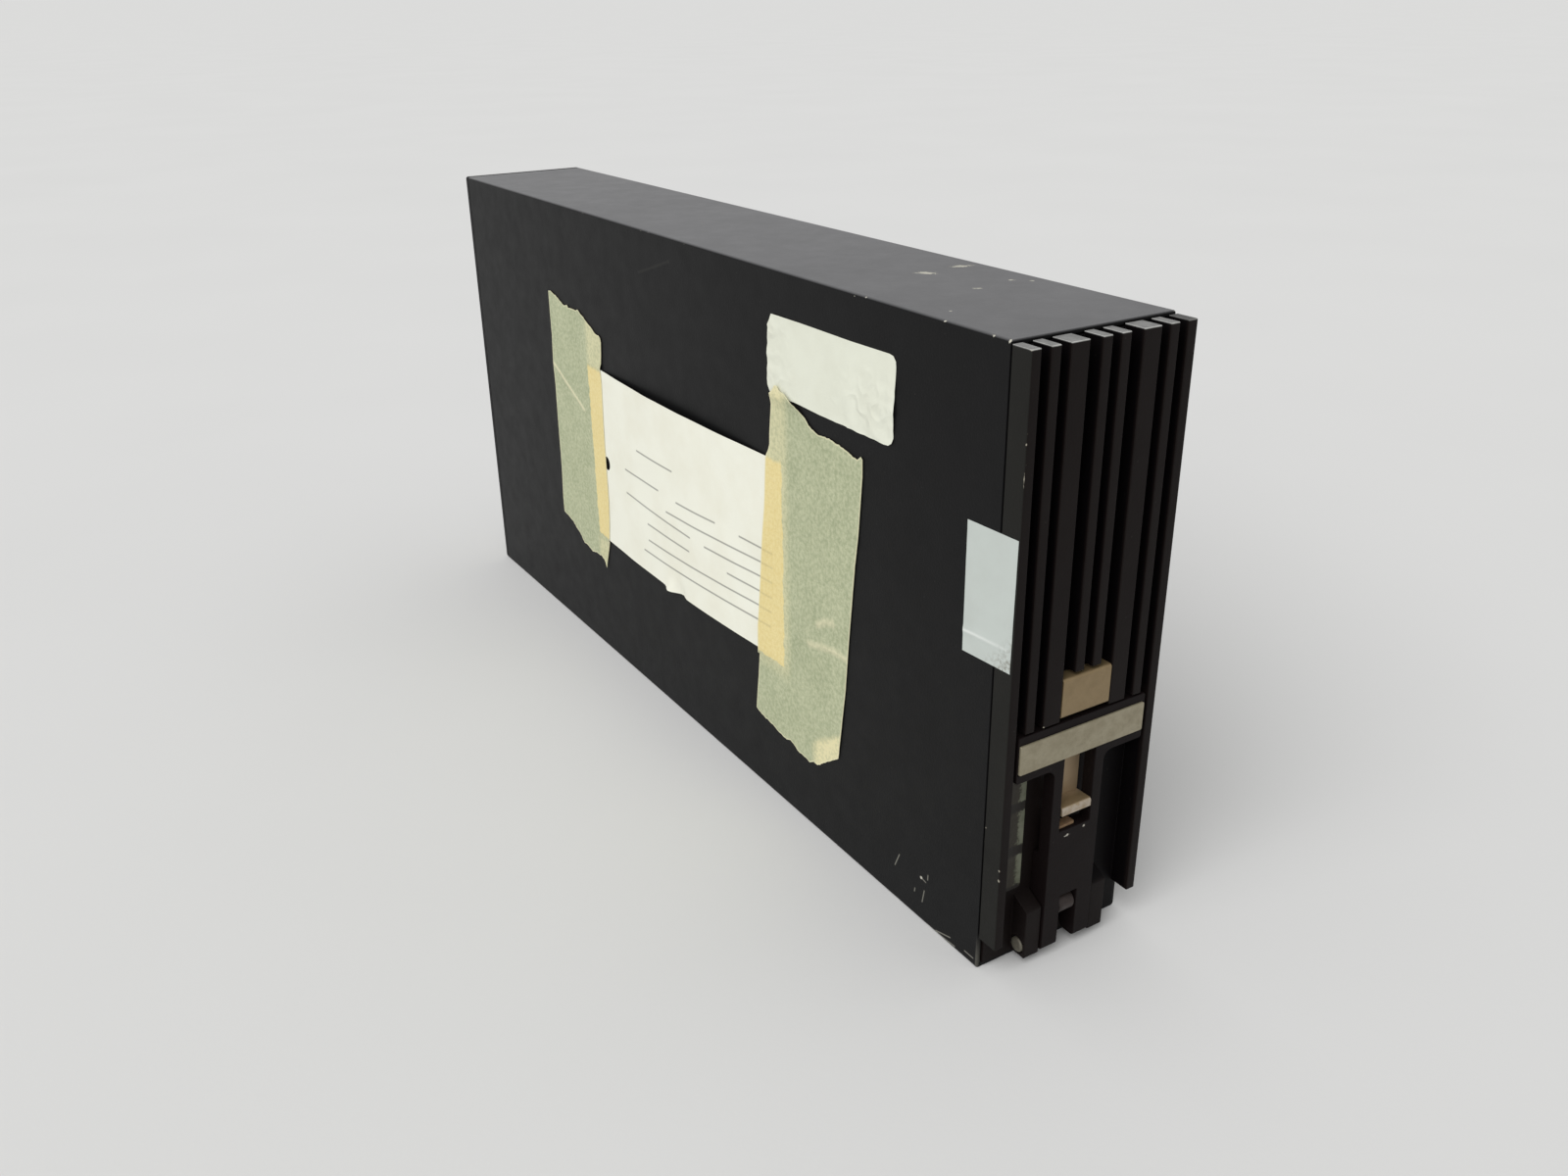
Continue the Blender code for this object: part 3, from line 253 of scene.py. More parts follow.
def chipped(place, spots):
    """A mask of the listed chips, each with a middle, half sizes and perhaps a turn."""
    rag = stretch(grain(place, 1.1, 4.0, 0.7), 0.3, 0.7, -0.35, 0.75)
    masks = []
    for middle, half, *turn in spots:
        turn = turn[0] if turn else (0, 0, 0)
        masks += effect(chip, place=place, rag=rag, centre=middle, half=half, turn=turn)
    return most(*masks)


def ruled(place, rules, width):
    """A mask of straight (y, z) lines."""
    masks = []
    for start, end in rules:
        masks += effect(line, place=place, start=(0, *start), end=(0, *end), width=width)
    return most(*masks)


def painted(shader, place, paint, under, gloss, wear, bare, extra=None):
    """Paint with rubbed edges and bare places; extra is a (mask, colour) on top."""
    colour, roughness, height = effect(
        paint_film, place=place, paint=paint, under=under, gloss=gloss,
        edge=marked(place, "edge"), wear=wear, bare=bare)
    if extra:
        colour = colour_mix(extra[0], colour, extra[1])
    dress(shader, colour, roughness, height, PAINT_RELIEF)


def new_shape():
    bm = bmesh.new()
    bm.faces.layers.float.new("edge")
    return bm


def block(bm, low, high):
    low, high = Vector(low), Vector(high)
    place = Matrix.Translation((low + high) / 2) @ Matrix.Diagonal((*(high - low), 1))
    bmesh.ops.create_cube(bm, size=1.0, matrix=place)


def outward(bm):
    bmesh.ops.recalc_face_normals(bm, faces=bm.faces)


def sharp_edges(bm, least=40, where=lambda spot: True):
    """Edges at a steep angle, in degrees, with both ends where asked for."""
    return [e for e in bm.edges
            if len(e.link_faces) == 2 and e.calc_face_angle(0) > math.radians(least)
            and all(where(v.co) for v in e.verts)]


def mark_edge(bm, faces):
    mark = bm.faces.layers.float["edge"]
    for face in faces:
        face[mark] = 1.0


def soften(bm, edges, width, segments=2):
    """Rounds the edges and marks the new faces as edge, where paint rubs off."""
    made = bmesh.ops.bevel(bm, geom=edges, offset=width, offset_type="OFFSET", affect="EDGES",
                           segments=segments, profile=0.5, material=-1, clamp_overlap=True)
    mark_edge(bm, made["faces"])


def new_mesh(name, bm, look):
    mesh = bpy.data.meshes.new(name)
    bm.to_mesh(mesh)
    bm.free()
    mesh.materials.append(look)
    return mesh


def new_object(name, data):
    made = bpy.data.objects.new(name, data)
    bpy.context.scene.collection.objects.link(made)
    return made


def finish_piece(name, bm, look, body, slot, *nodes):
    """Brings the millimetre shape to metres as a piece that rides on a body."""
    bmesh.ops.scale(bm, vec=(0.001, 0.001, 0.001), verts=bm.verts)
    mesh = new_mesh(name, bm, look)
    mesh.shade_smooth()
    mesh.set_sharp_from_angle(angle=SMOOTH_UP_TO)
    piece = new_object(name, mesh)
    piece.modifiers.new("even_shading", "WEIGHTED_NORMAL").keep_sharp = True
    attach(piece, body)
    if nodes:
        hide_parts(*nodes)
    return piece


bm = new_shape()
block(bm, (-CASE_SIDE, CASE_FRONT, 0), (CASE_SIDE, CASE_BACK, CASE_TOP))
bm.normal_update()
ends = [f for f in bm.faces if abs(f.normal.y) > 0.9]
bmesh.ops.delete(bm, geom=ends, context="FACES_ONLY")
soften(bm, [e for e in bm.edges if len(e.link_faces) == 2], CASE_CORNER, 5)
outward(bm)
bmesh.ops.solidify(bm, geom=bm.faces[:], thickness=CASE_WALL)
bm.normal_update()
rims = [e for e in sharp_edges(bm) if abs(e.verts[0].co.y - e.verts[1].co.y) < 0.01]
soften(bm, rims, CASE_RIM)

case_paint, shader, place = new_look("case_paint", specular=0.1)
x, y, z = axes(place)
low_corner = times(stretch(y, CASE_FRONT + 0.7, CASE_FRONT + 0.3),
                   stretch(z, 12.0, 4.0), stretch(x, -27.0, -28.2, 0.0, 0.14))
faint = times(ruled(place, FAINT_SCRATCHES, 0.8), 0.05)
scratched = times(most(ruled(place, SIDE_SCRATCHES, 0.32), faint),
                  stretch(x, -28.0, -28.3, 0.0, 0.45))
bare = most(chipped(place, CASE_CHIPS), scratched, low_corner)
# Painted sheen: the top's grey stands for dust and for the sky's sheen on the satin paint, and
# grows a little lighter towards the back.
dust_and_sheen_haze = times(stretch(grain(place, 0.03, 5.0), 0.3, 0.7, 0.79, 0.87),
             stretch(y, -190.0, 190.0, 0.97, 1.14))
on_top = stretch(z, CASE_TOP - 0.6, CASE_TOP - 0.05)
dust_and_sheen = times(on_top, dust_and_sheen_haze, calc("SUBTRACT", 1.0, bare))
painted(shader, place, CASE_BLACK, BARE_METAL, 0.46, -0.03, bare, (dust_and_sheen, DUST_AND_SHEEN))
finish_piece("sleeve", bm, case_paint, "chassis", "case_black", "case_sleeve")


# Finned front
# An aluminium casting: a flat base, eight upright fins, hinge ears at the foot and a pocket for
# the catch. It is milled, painted matt black and clamped to the sleeve by four rails.
BASE_SIDE, BASE_LOW, BASE_HIGH = 26.775, 1.8, 192.2
FLOOR, NOTCH_BACK, FRONT_BACK = -194.8, -189.8, -186.8
NOTCH_SIDE, NOTCH_LOW, NOTCH_HIGH = 20.475, 8.1, 185.9
FLANGE_BACK, FLANGE_FOOT = -194.6, 11.8
FIN_FRONT, FIN_TOP = -201.8, 193.1
FINS = ((25.375, CASE_SIDE, FLANGE_FOOT), (18.875, 22.075, 83.8), (9.375, 15.575, 83.8),
        (1.65, 4.85, 98.3))
EAR_IN, EAR_OUT, EAR_FRONT, EAR_LOW, EAR_TOP, EAR_SLOPE = 10.1, 16.0, -201.1, 2.8, 23.3, 3.5
HINGE = Vector((0, -197.7, 6.1))
HINGE_BORE, HINGE_BORE_DEPTH = 2.8, 4.5
BEARING_IN, BEARING_OUT, BEARING_LOW, BEARING_TOP, BEARING_RISE = 9.775, 13.275, 72.95, 78.35, 1.9
POCKET_SIDE, POCKET_LOW, POCKET_HIGH, POCKET_FLOOR = 9.375, 67.65, 97.7, -190.8
SPRING_AXIS = 90.85
POST_HALF, POST_RISE, POST_ROUND = 2.1, 2.0, 1.9
FIN_EDGE, CAST_EDGE = 0.35, 0.1
FRONT_BLACK = (0.0066, 0.0044, 0.004, 1)
PAINTED_SHADE_BLACK = (0.0016, 0.001, 0.0013, 1)
FLANK_BLACK = (0.0125, 0.0122, 0.0108, 1)
FRONT_BARE = (0.28, 0.26, 0.21, 1)
PAINTED_TOP_LIGHT, PAINTED_EDGE_HIGHLIGHT = (0.25, 0.25, 0.245, 1), (0.5, 0.5, 0.48, 1)
FRONT_CHIPS = (
    ((-28.5, -201.6, 37.1), (0.4, 0.5, 0.6)), ((-28.5, -201.6, 40.6), (0.3, 0.4, 0.45)),
    ((-28.5, -201.7, 169.1), (0.2, 0.25, 0.4)), ((-28.5, -201.7, 160.0), (0.15, 0.18, 2.4)),
    ((-28.4, -201.5, 193.1), (0.7, 0.8, 0.5)), ((-28.6, -195.0, 51.8), (0.4, 0.3, 0.3)),
    ((-15.4, -201.7, 84.1), (0.35, 0.4, 0.35)),
)


def slice_at(bm, axis, *places):
    """Cuts the whole shape along planes, so that single cells can be moved."""
    way = Vector((0, 0, 0))
    way[axis] = 1
    for spot in places:
        bmesh.ops.bisect_plane(bm, geom=bm.verts[:] + bm.edges[:] + bm.faces[:], dist=1e-4,
                               plane_co=way * spot, plane_no=way)


def cells(bm, axis, spot, *within):
    """The flat faces at one place along an axis, with middles in (axis, low, high) ranges."""
    bm.normal_update()
    found = []
    for face in bm.faces:
        middle = face.calc_center_median()
        flat = abs(face.normal[axis]) >= 0.99 and abs(middle[axis] - spot) <= 0.01
        if flat and all(low < middle[a] < high for a, low, high in within):
            found.append(face)
    return found


def span(side, near, far):
    """The range across, from near to far on one side of the middle."""
    return 0, *sorted((side * near, side * far))


def verts_in(made):
    return [g for g in made if isinstance(g, bmesh.types.BMVert)]


def push(bm, faces, way, keep=False):
    """Extrudes the faces by a vector; a flat sheet keeps the first faces as its other side."""
    made = bmesh.ops.extrude_face_region(bm, geom=faces)["geom"]
    bmesh.ops.translate(bm, vec=way, verts=verts_in(made))
    if not keep:
        bmesh.ops.delete(bm, geom=[f for f in faces if f.is_valid], context="FACES")


def edges_along(bm, axis, *places):
    """Edges along one axis that lie at the given (axis, place) spots."""
    return [e for e in bm.edges
            if abs((e.verts[0].co - e.verts[1].co).normalized()[axis]) > 0.99
            and all(abs(v.co[a] - spot) < 0.02 for v in e.verts for a, spot in places)]


def flatten(bm, seams=()):
    """Joins cells that lie in one plane again; seams are edges that stay, to open a ring."""
    edges = [e for e in bm.edges if e not in seams]
    bmesh.ops.dissolve_limit(bm, angle_limit=0.01, verts=bm.verts[:], edges=edges)
    bm.normal_update()


def ring(bm, middle, axis, radius, steps=24):
    """A circle of edges about a point, facing along an axis."""
    turn = Vector((0, 0, 1)).rotation_difference(axis).to_matrix().to_4x4()
    made = bmesh.ops.create_circle(bm, segments=steps, radius=radius,
                                   matrix=Matrix.Translation(middle) @ turn)["verts"]
    return list({e for v in made for e in v.link_edges})


def bore(bm, face, middle, axis, radius, depth):
    """Opens a face to a round blind hole; axis points out of the face."""
    outline = face.edges[:]
    bmesh.ops.delete(bm, geom=[face], context="FACES_ONLY")
    mouth = ring(bm, middle, axis, radius)
    bmesh.ops.bridge_loops(bm, edges=outline + mouth)
    wall = bmesh.ops.extrude_edge_only(bm, edges=mouth)["geom"]
    bmesh.ops.translate(bm, vec=axis * -depth, verts=verts_in(wall))
    bmesh.ops.contextual_create(bm, geom=[g for g in wall if isinstance(g, bmesh.types.BMEdge)])


def in_notch(spot):
    return abs(spot.x) > NOTCH_SIDE and not NOTCH_LOW < spot.z < NOTCH_HIGH


bm = new_shape()
block(bm, (-BASE_SIDE, FLOOR, BASE_LOW), (BASE_SIDE, NOTCH_BACK, BASE_HIGH))
across = {EAR_IN, EAR_OUT, BEARING_IN, BEARING_OUT, NOTCH_SIDE, POCKET_SIDE, POST_HALF}
upward = {EAR_LOW, EAR_TOP, BEARING_LOW, BEARING_TOP, NOTCH_LOW, NOTCH_HIGH, POCKET_LOW,
          POCKET_HIGH, SPRING_AXIS - POST_HALF, SPRING_AXIS + POST_HALF}
for near, far, foot in FINS:
    across |= {near, far}
    upward.add(foot)
for side in (-1, 1):
    slice_at(bm, 0, *[side * spot for spot in sorted(across, reverse=True)])
slice_at(bm, 0, 0)
slice_at(bm, 1, FLANGE_BACK)
slice_at(bm, 2, *sorted(upward))
push(bm, [f for f in cells(bm, 1, NOTCH_BACK) if not in_notch(f.calc_center_median())],
     (0, FRONT_BACK - NOTCH_BACK, 0))
rim = (1, -math.inf, FLANGE_BACK)
for side in (-1, 1):
    for near, far, foot in FINS:
        push(bm, cells(bm, 1, FLOOR, span(side, near, far), (2, foot, math.inf)),
             (0, FIN_FRONT - FLOOR, 0))
    push(bm, cells(bm, 0, side * BASE_SIDE, rim, (2, FLANGE_FOOT, math.inf)),
         (side * (CASE_SIDE - BASE_SIDE), 0, 0))
    for near, far, foot in FINS:
        push(bm, cells(bm, 2, BASE_HIGH, span(side, near, far), rim), (0, 0, FIN_TOP - BASE_HIGH))
    push(bm, cells(bm, 1, FLOOR, span(side, EAR_IN, EAR_OUT), (2, EAR_LOW, EAR_TOP)),
         (0, EAR_FRONT - FLOOR, 0))
    tops = [v for v in bm.verts
            if abs(v.co.y - EAR_FRONT) < 0.01 and abs(v.co.z - EAR_TOP) < 0.01]
    bmesh.ops.translate(bm, vec=(0, 0, -EAR_SLOPE), verts=tops)
    push(bm, cells(bm, 1, FLOOR, span(side, BEARING_IN, BEARING_OUT),
                   (2, BEARING_LOW, BEARING_TOP)), (0, -BEARING_RISE, 0))
push(bm, cells(bm, 1, FLOOR, (0, -POCKET_SIDE, POCKET_SIDE), (2, POCKET_LOW, POCKET_HIGH)),
     (0, POCKET_FLOOR - FLOOR, 0))
push(bm, cells(bm, 1, POCKET_FLOOR, (0, -POST_HALF, POST_HALF),
               (2, SPRING_AXIS - POST_HALF, SPRING_AXIS + POST_HALF)), (0, -POST_RISE, 0))
seams = edges_along(bm, 2, (0, 0), (1, POCKET_FLOOR))
for side in (-1, 1):
    seams += edges_along(bm, 2, (0, side * EAR_IN), (1, FLOOR))
flatten(bm, seams)
post_edges = []
for side in (-POST_HALF, POST_HALF):
    for end in (-POST_HALF, POST_HALF):
        post_edges += edges_along(bm, 1, (0, side), (2, SPRING_AXIS + end))
soften(bm, post_edges, POST_ROUND, 6)
for side in (-1, 1):
    for face in cells(bm, 0, side * EAR_OUT, (2, EAR_LOW, EAR_TOP), (1, EAR_FRONT, FLOOR)):
        bore(bm, face, HINGE + Vector((side * EAR_OUT, 0, 0)), Vector((side, 0, 0)),
             HINGE_BORE, HINGE_BORE_DEPTH)
outward(bm)
soften(bm, sharp_edges(bm, where=lambda spot: spot.y < EAR_FRONT + 0.2), FIN_EDGE)
soften(bm, sharp_edges(bm, 60), CAST_EDGE, 1)

front_paint, shader, place = new_look("front_paint", specular=0.1)
x, y, z = axes(place)
# Painted light: the fin tops are painted grey as if lit from above, with painted highlights on
# their rounded edges, and less on the outer right fin.
lit_fin_tops = times(stretch(z, FIN_TOP - 0.35, FIN_TOP - 0.05),
                 stretch(grain(place, 0.4, 4.0), 0.3, 0.6, 0.7, 0.95),
                 stretch(x, 24.0, 25.5, 1.0, 0.4))
# Painted shade: the recess right of the stem, and the fin sides and floor between the fins, are
# painted near black where shade falls.
shaded_recess = times(stretch(y, -201.2, -200.0), stretch(z, 72.0, 70.0), stretch(x, 9.0, 9.6))
shaded_between_fins = times(stretch(y, -201.5, -200.6), stretch(z, 83.0, 86.0))
paint = colour_mix(most(shaded_recess, shaded_between_fins), FRONT_BLACK, PAINTED_SHADE_BLACK)
paint = colour_mix(stretch(x, -28.3, -28.5), paint, FLANK_BLACK)
lit_top_colour = colour_mix(marked(place, "edge"), PAINTED_TOP_LIGHT, PAINTED_EDGE_HIGHLIGHT)
painted(shader, place, paint, FRONT_BARE, 0.56, -0.06, chipped(place, FRONT_CHIPS),
        (lit_fin_tops, lit_top_colour))
finish_piece("finned_front", bm, front_paint, "chassis", "front_black", "front_heatsink")


# Recess label
# A strip of printed foil on the floor beside the stem: three pale blank cells between dark
# bars, browned with dirt along its outer side.
FOIL_LOW, FOIL_HIGH = (-23.6, -194.92, 25.2), (-13.9, -194.7, 67.0)
FOIL_GRID, FOIL_ROUND, FOIL_FACE, FOIL_RUMPLE = 2.0, 0.8, -194.8, 0.06
FOIL_RELIEF = 0.00003
FOIL_CELLS = ((26.2, 37.6), (40.6, 53.0), (55.7, 66.0))
CELL_DARK, CELL_PALE = (0.115, 0.122, 0.084, 1), (0.172, 0.18, 0.132, 1)
FOIL_BAR, FOIL_GRIME = (0.016, 0.0135, 0.011, 1), (0.022, 0.016, 0.0125, 1)


def wave(*spot):
    """Smooth noise from -1 to 1 at a spot, the same on every run."""
    return noise.noise(Vector(spot))


bm = new_shape()
block(bm, FOIL_LOW, FOIL_HIGH)
soften(bm, edges_along(bm, 1), FOIL_ROUND, 4)
for axis, count in ((2, 21), (0, 5)):
    slice_at(bm, axis, *[FOIL_LOW[axis] + FOIL_GRID * k for k in range(1, count)])
for vert in bm.verts:
    if vert.co.y < FOIL_FACE:
        vert.co.y -= FOIL_RUMPLE * (1 + wave(vert.co.x * 0.3, 0, vert.co.z * 0.3))
foil_print, shader, place = new_look("foil_print", specular=0.3)
x, _, z = axes(place)
rag = stretch(grain(place, 0.8, 4.0, 0.7), 0.3, 0.7, -0.5, 0.5)
height = calc("ADD", z, rag)
pale = most(*[
    times(stretch(height, low, low + 0.5), stretch(height, high, high - 0.5))
    for low, high in FOIL_CELLS])
grime = stretch(calc("ADD", x, times(rag, 2.0)), -15.5, -16.5)
mottle = stretch(grain(place, 0.3, 5.0), 0.35, 0.65)
tone = colour_mix(mottle, CELL_DARK, CELL_PALE)
tone = colour_mix(times(grime, 0.9), tone, FOIL_GRIME)
dress(shader, colour_mix(pale, FOIL_BAR, tone), stretch(rag, -0.5, 0.5, 0.4, 0.6), rag,
      FOIL_RELIEF)
finish_piece("recess_label", bm, foil_print, "chassis", "nameplate_silver")


# Hinge pins
# Two headed steel pins, pressed through the ears from outside into the handle's foot. Each is
# turned from bar, with a rounded head, and has gone dull; its colour is darkened as painted shade.
PIN_PROFILE = (
    (4.55, 0), (4.55, 1.1), (4.85, 1.4), (11.8, 1.4), (11.8, 2.2), (12.1, 2.5), (15.8, 2.5),
    (16.15, 2.35), (16.35, 1.95), (16.4, 1.4), (16.4, 0.35), (16.33, 0))
SKIN_RELIEF = 0.000015


def turned(bm, middle, axis, profile, steps, closed=False):
    """Spins a profile of (along the axis, radius) points about the axis."""
    axis = Vector(axis)
    out = axis.orthogonal().normalized()
    points = [bm.verts.new(Vector(middle) + axis * along + out * radius)
              for along, radius in profile]
    edges = [bm.edges.new(pair) for pair in zip(points, points[1:])]
    if closed:
        edges.append(bm.edges.new((points[-1], points[0])))
    bmesh.ops.spin(bm, geom=points + edges, cent=middle, axis=axis, dvec=(0, 0, 0),
                   angle=math.tau, steps=steps, use_merge=True, use_duplicate=False)
    bmesh.ops.remove_doubles(bm, verts=bm.verts, dist=1e-4)
    outward(bm)


def worn_skin_effect():
    """A metal or moulded surface with dull stains and a fine grain."""
    group, given, result = new_effect("worn_skin", SURFACE, place="Vector", clean="Color",
                                     stained="Color", dull="Float", polish="Float")
    stain = grain(given["place"], 0.3, 6.0, 0.65)
    fine = grain(given["place"], 3.0, 3.0)
    dull = times(stretch(stain, 0.38, 0.64), given["dull"])
    give(result,
         colour=colour_mix(dull, given["clean"], given["stained"]),
         roughness=calc("ADD", given["polish"], times(dull, 0.25),
                        stretch(fine, 0.3, 0.7, -0.05, 0.05)),
         height=fine)
    return group


worn_skin = worn_skin_effect()


def new_skin(name, group, specular=0.5, metallic=0.0, **inputs):
    """A new look, with the colour, roughness and height that a node group gives it."""
    look, shader, place = new_look(name, specular, metallic)
    return look, shader, place, *effect(group, place=place, **inputs)


def worn_look(name, clean, stained, dull, polish, metallic=1.0):
    look, shader, _, *skin = new_skin(name, worn_skin, metallic=metallic, clean=clean,
                                      stained=stained, dull=dull, polish=polish)
    dress(shader, *skin, SKIN_RELIEF)
    return look


# Painted shade: the steel's colour is made darker still, to stand for the shade that falls on the
# pins.
dull_shaded_steel = worn_look("dull_shaded_steel", (0.155, 0.142, 0.11, 1), (0.09, 0.082, 0.062, 1),
                       dull=0.8, polish=0.45, metallic=0.4)
for side, name in ((-1, "left"), (1, "right")):
    bm = new_shape()
    turned(bm, HINGE, (side, 0, 0), PIN_PROFILE, 40)
    finish_piece("pin_" + name, bm, dull_shaded_steel, "chassis", "steel", "hinge_pin_" + name)


# Handle
# A T-shaped aluminium lever, milled from plate and painted with the front. Its foot is forked
# round the roller, and a window in the stem lets the catch's tab through.
STEM_SIDE, BAR_SIDE = 9.6, 24.325
FOOT_LOW, FOOT_TOP, BAR_LOW, BAR_HIGH = 3.5, 37.0, 68.1, 83.2
HANDLE_FRONT, HANDLE_BACK, FOOT_BACK = -201.7, -197.2, -195.1
FORK_SIDE, FORK_TOP = 3.35, 21.4
WINDOW_SIDE, WINDOW_LOW, WINDOW_HIGH = 6.0, 45.5, 72.0
SEAT, SEAT_SIDE, SEAT_LOW, SEAT_HIGH = -201.3, 23.9, 70.7, 80.6
STEM_FILLET, BAR_ROUND, HEEL_ROUND, TOE_ROUND, STEP_ROUND = 3.0, 0.8, 2.6, 1.2, 0.9
HANDLE_EDGE = 0.3
HANDLE_BLACK, HANDLE_BARE = (0.0066, 0.0044, 0.0044, 1), (0.4, 0.38, 0.33, 1)
HANDLE_CHIPS = (
    ((-2.4, HANDLE_FRONT, 43.4), (0.75, 0.6, 0.6)), ((3.9, HANDLE_FRONT, 44.2), (0.65, 0.6, 0.55)),
    ((-3.4, HANDLE_FRONT, 43.2), (0.7, 0.6, 0.2)),
)


def draw_down(bm, top, side, low):
    """Extrudes the edges at a height, out to a half width, down to a lower height."""
    row = [e for e in bm.edges if all(
        abs(v.co.z - top) < 0.01 and abs(v.co.x) < side + 0.01 for v in e.verts)]
    made = bmesh.ops.extrude_edge_only(bm, edges=row)["geom"]
    bmesh.ops.translate(bm, vec=(0, 0, low - top), verts=verts_in(made))


def in_seat(spot):
    return (abs(spot.y - SEAT) < 0.45 and SEAT_LOW - 0.7 < spot.z < SEAT_HIGH + 0.4
            and abs(spot.x) < SEAT_SIDE + 0.1)


bm = new_shape()
bar = [bm.verts.new((across, SEAT, up)) for across, up in (
    (-BAR_SIDE, BAR_LOW), (BAR_SIDE, BAR_LOW), (BAR_SIDE, BAR_HIGH), (-BAR_SIDE, BAR_HIGH))]
bmesh.ops.contextual_create(bm, geom=bar)
slice_at(bm, 0, -STEM_SIDE, STEM_SIDE)
draw_down(bm, BAR_LOW, STEM_SIDE, FOOT_LOW)
for side in (-1, 1):
    slice_at(bm, 0, side * WINDOW_SIDE, side * FORK_SIDE, side * SEAT_SIDE)
slice_at(bm, 0, 0)
slice_at(bm, 2, FORK_TOP, FOOT_TOP, WINDOW_LOW, SEAT_LOW, WINDOW_HIGH, SEAT_HIGH)
window = cells(bm, 1, SEAT, (0, -WINDOW_SIDE, WINDOW_SIDE), (2, WINDOW_LOW, WINDOW_HIGH))
fork = cells(bm, 1, SEAT, (0, -FORK_SIDE, FORK_SIDE), (2, FOOT_LOW, FORK_TOP))
bmesh.ops.delete(bm, geom=window + fork, context="FACES")
outward(bm)
push(bm, bm.faces[:], (0, HANDLE_BACK - SEAT, 0), True)
outward(bm)
push(bm, cells(bm, 1, HANDLE_BACK, (2, FOOT_LOW, FOOT_TOP)), (0, FOOT_BACK - HANDLE_BACK, 0))
seat = cells(bm, 1, SEAT, (0, -SEAT_SIDE, SEAT_SIDE), (2, SEAT_LOW, SEAT_HIGH))
push(bm, [f for f in cells(bm, 1, SEAT) if f not in seat], (0, HANDLE_FRONT - SEAT, 0))
flatten(bm, edges_along(bm, 2, (0, 0)))
for side in (-1, 1):
    soften(bm, edges_along(bm, 1, (0, side * STEM_SIDE), (2, BAR_LOW)), STEM_FILLET, 8)
    soften(bm, edges_along(bm, 1, (0, side * BAR_SIDE)), BAR_ROUND, 4)
soften(bm, edges_along(bm, 0, (1, FOOT_BACK), (2, FOOT_LOW)), HEEL_ROUND, 8)
soften(bm, edges_along(bm, 0, (1, HANDLE_FRONT), (2, FOOT_LOW)), TOE_ROUND, 4)
foot_step = [e for depth in (FOOT_BACK, HANDLE_BACK)
             for e in edges_along(bm, 0, (1, depth), (2, FOOT_TOP))]
soften(bm, foot_step, STEP_ROUND, 4)
seat_edges = sharp_edges(bm, where=in_seat)
soften(bm, [e for e in sharp_edges(bm) if e not in seat_edges], HANDLE_EDGE)

handle_paint, shader, place = new_look("handle_paint", specular=0.08)
painted(shader, place, HANDLE_BLACK, HANDLE_BARE, 0.5, -0.05, chipped(place, HANDLE_CHIPS))
finish_piece("handle_bar", bm, handle_paint, "handle", "front_black", "handle")


# Nameplate
# A thin silvered plate stuck in a shallow seat on the handle's crossbar. Its face is blank, and
# the metal has turned a mottled, warm grey.
PLATE_LOW, PLATE_HIGH = (-23.75, -202.2, 71.1), (23.75, -201.25, 80.45)
PLATE_ROUND, PLATE_EDGE, PLATE_RELIEF = 0.6, 0.15, 0.00003
PLATE_SILVER, PLATE_STAIN = (0.28, 0.25, 0.172, 1), (0.226, 0.197, 0.13, 1)
PLATE_SMEAR = (0.12, 0.105, 0.075, 1)
bm = new_shape()
block(bm, PLATE_LOW, PLATE_HIGH)
soften(bm, edges_along(bm, 1), PLATE_ROUND, 4)
soften(bm, sharp_edges(bm, where=lambda spot: spot.y < -202), PLATE_EDGE)
plate_silver, shader, place, colour, roughness, height = new_skin(
    "plate_silver", worn_skin, metallic=0.3, clean=PLATE_SILVER, stained=PLATE_STAIN, dull=0.8,
    polish=0.42)
drawn = add("Mapping", {"Vector": place, "Scale": (0.5, 1, 1.2)}).outputs[0]
smear = stretch(grain(drawn, 1.1, 6.0, 0.75), 0.56, 0.72, 0.0, 0.4)
dress(shader, colour_mix(smear, colour, PLATE_SMEAR), roughness, height, PLATE_RELIEF)
finish_piece("blank_plate", bm, plate_silver, "handle", "nameplate_silver", "nameplate")


# Extractor roller
# A turned steel roller with chamfered rims on a pin across the handle's fork. It bears on the
# rack when the handle is pulled down, and has a brown film of old oil.
ROLLER = (0, -198.4, 16.5)
ROLLER_PROFILE = ((-3.05, 1.7), (-3.05, 2.8), (-2.9, 3.05), (-2.65, 3.2), (2.65, 3.2),
                  (2.9, 3.05), (3.05, 2.8), (3.05, 1.7))


def dress_parts(look, *names):
    """Gives parts that keep their own shape a finish."""
    for name in names:
        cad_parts[name].data.materials.clear()
        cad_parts[name].data.materials.append(look)


bm = new_shape()
turned(bm, ROLLER, (1, 0, 0), ROLLER_PROFILE, 48, True)
oiled_steel = worn_look("oiled_steel", (0.03, 0.02, 0.0175, 1), (0.018, 0.012, 0.0105, 1),
                        dull=0.9, polish=0.42, metallic=0.4)
finish_piece("roller", bm, oiled_steel, "roller", "roller_steel", "extractor_roller")
dress_parts(oiled_steel, "roller_pin")


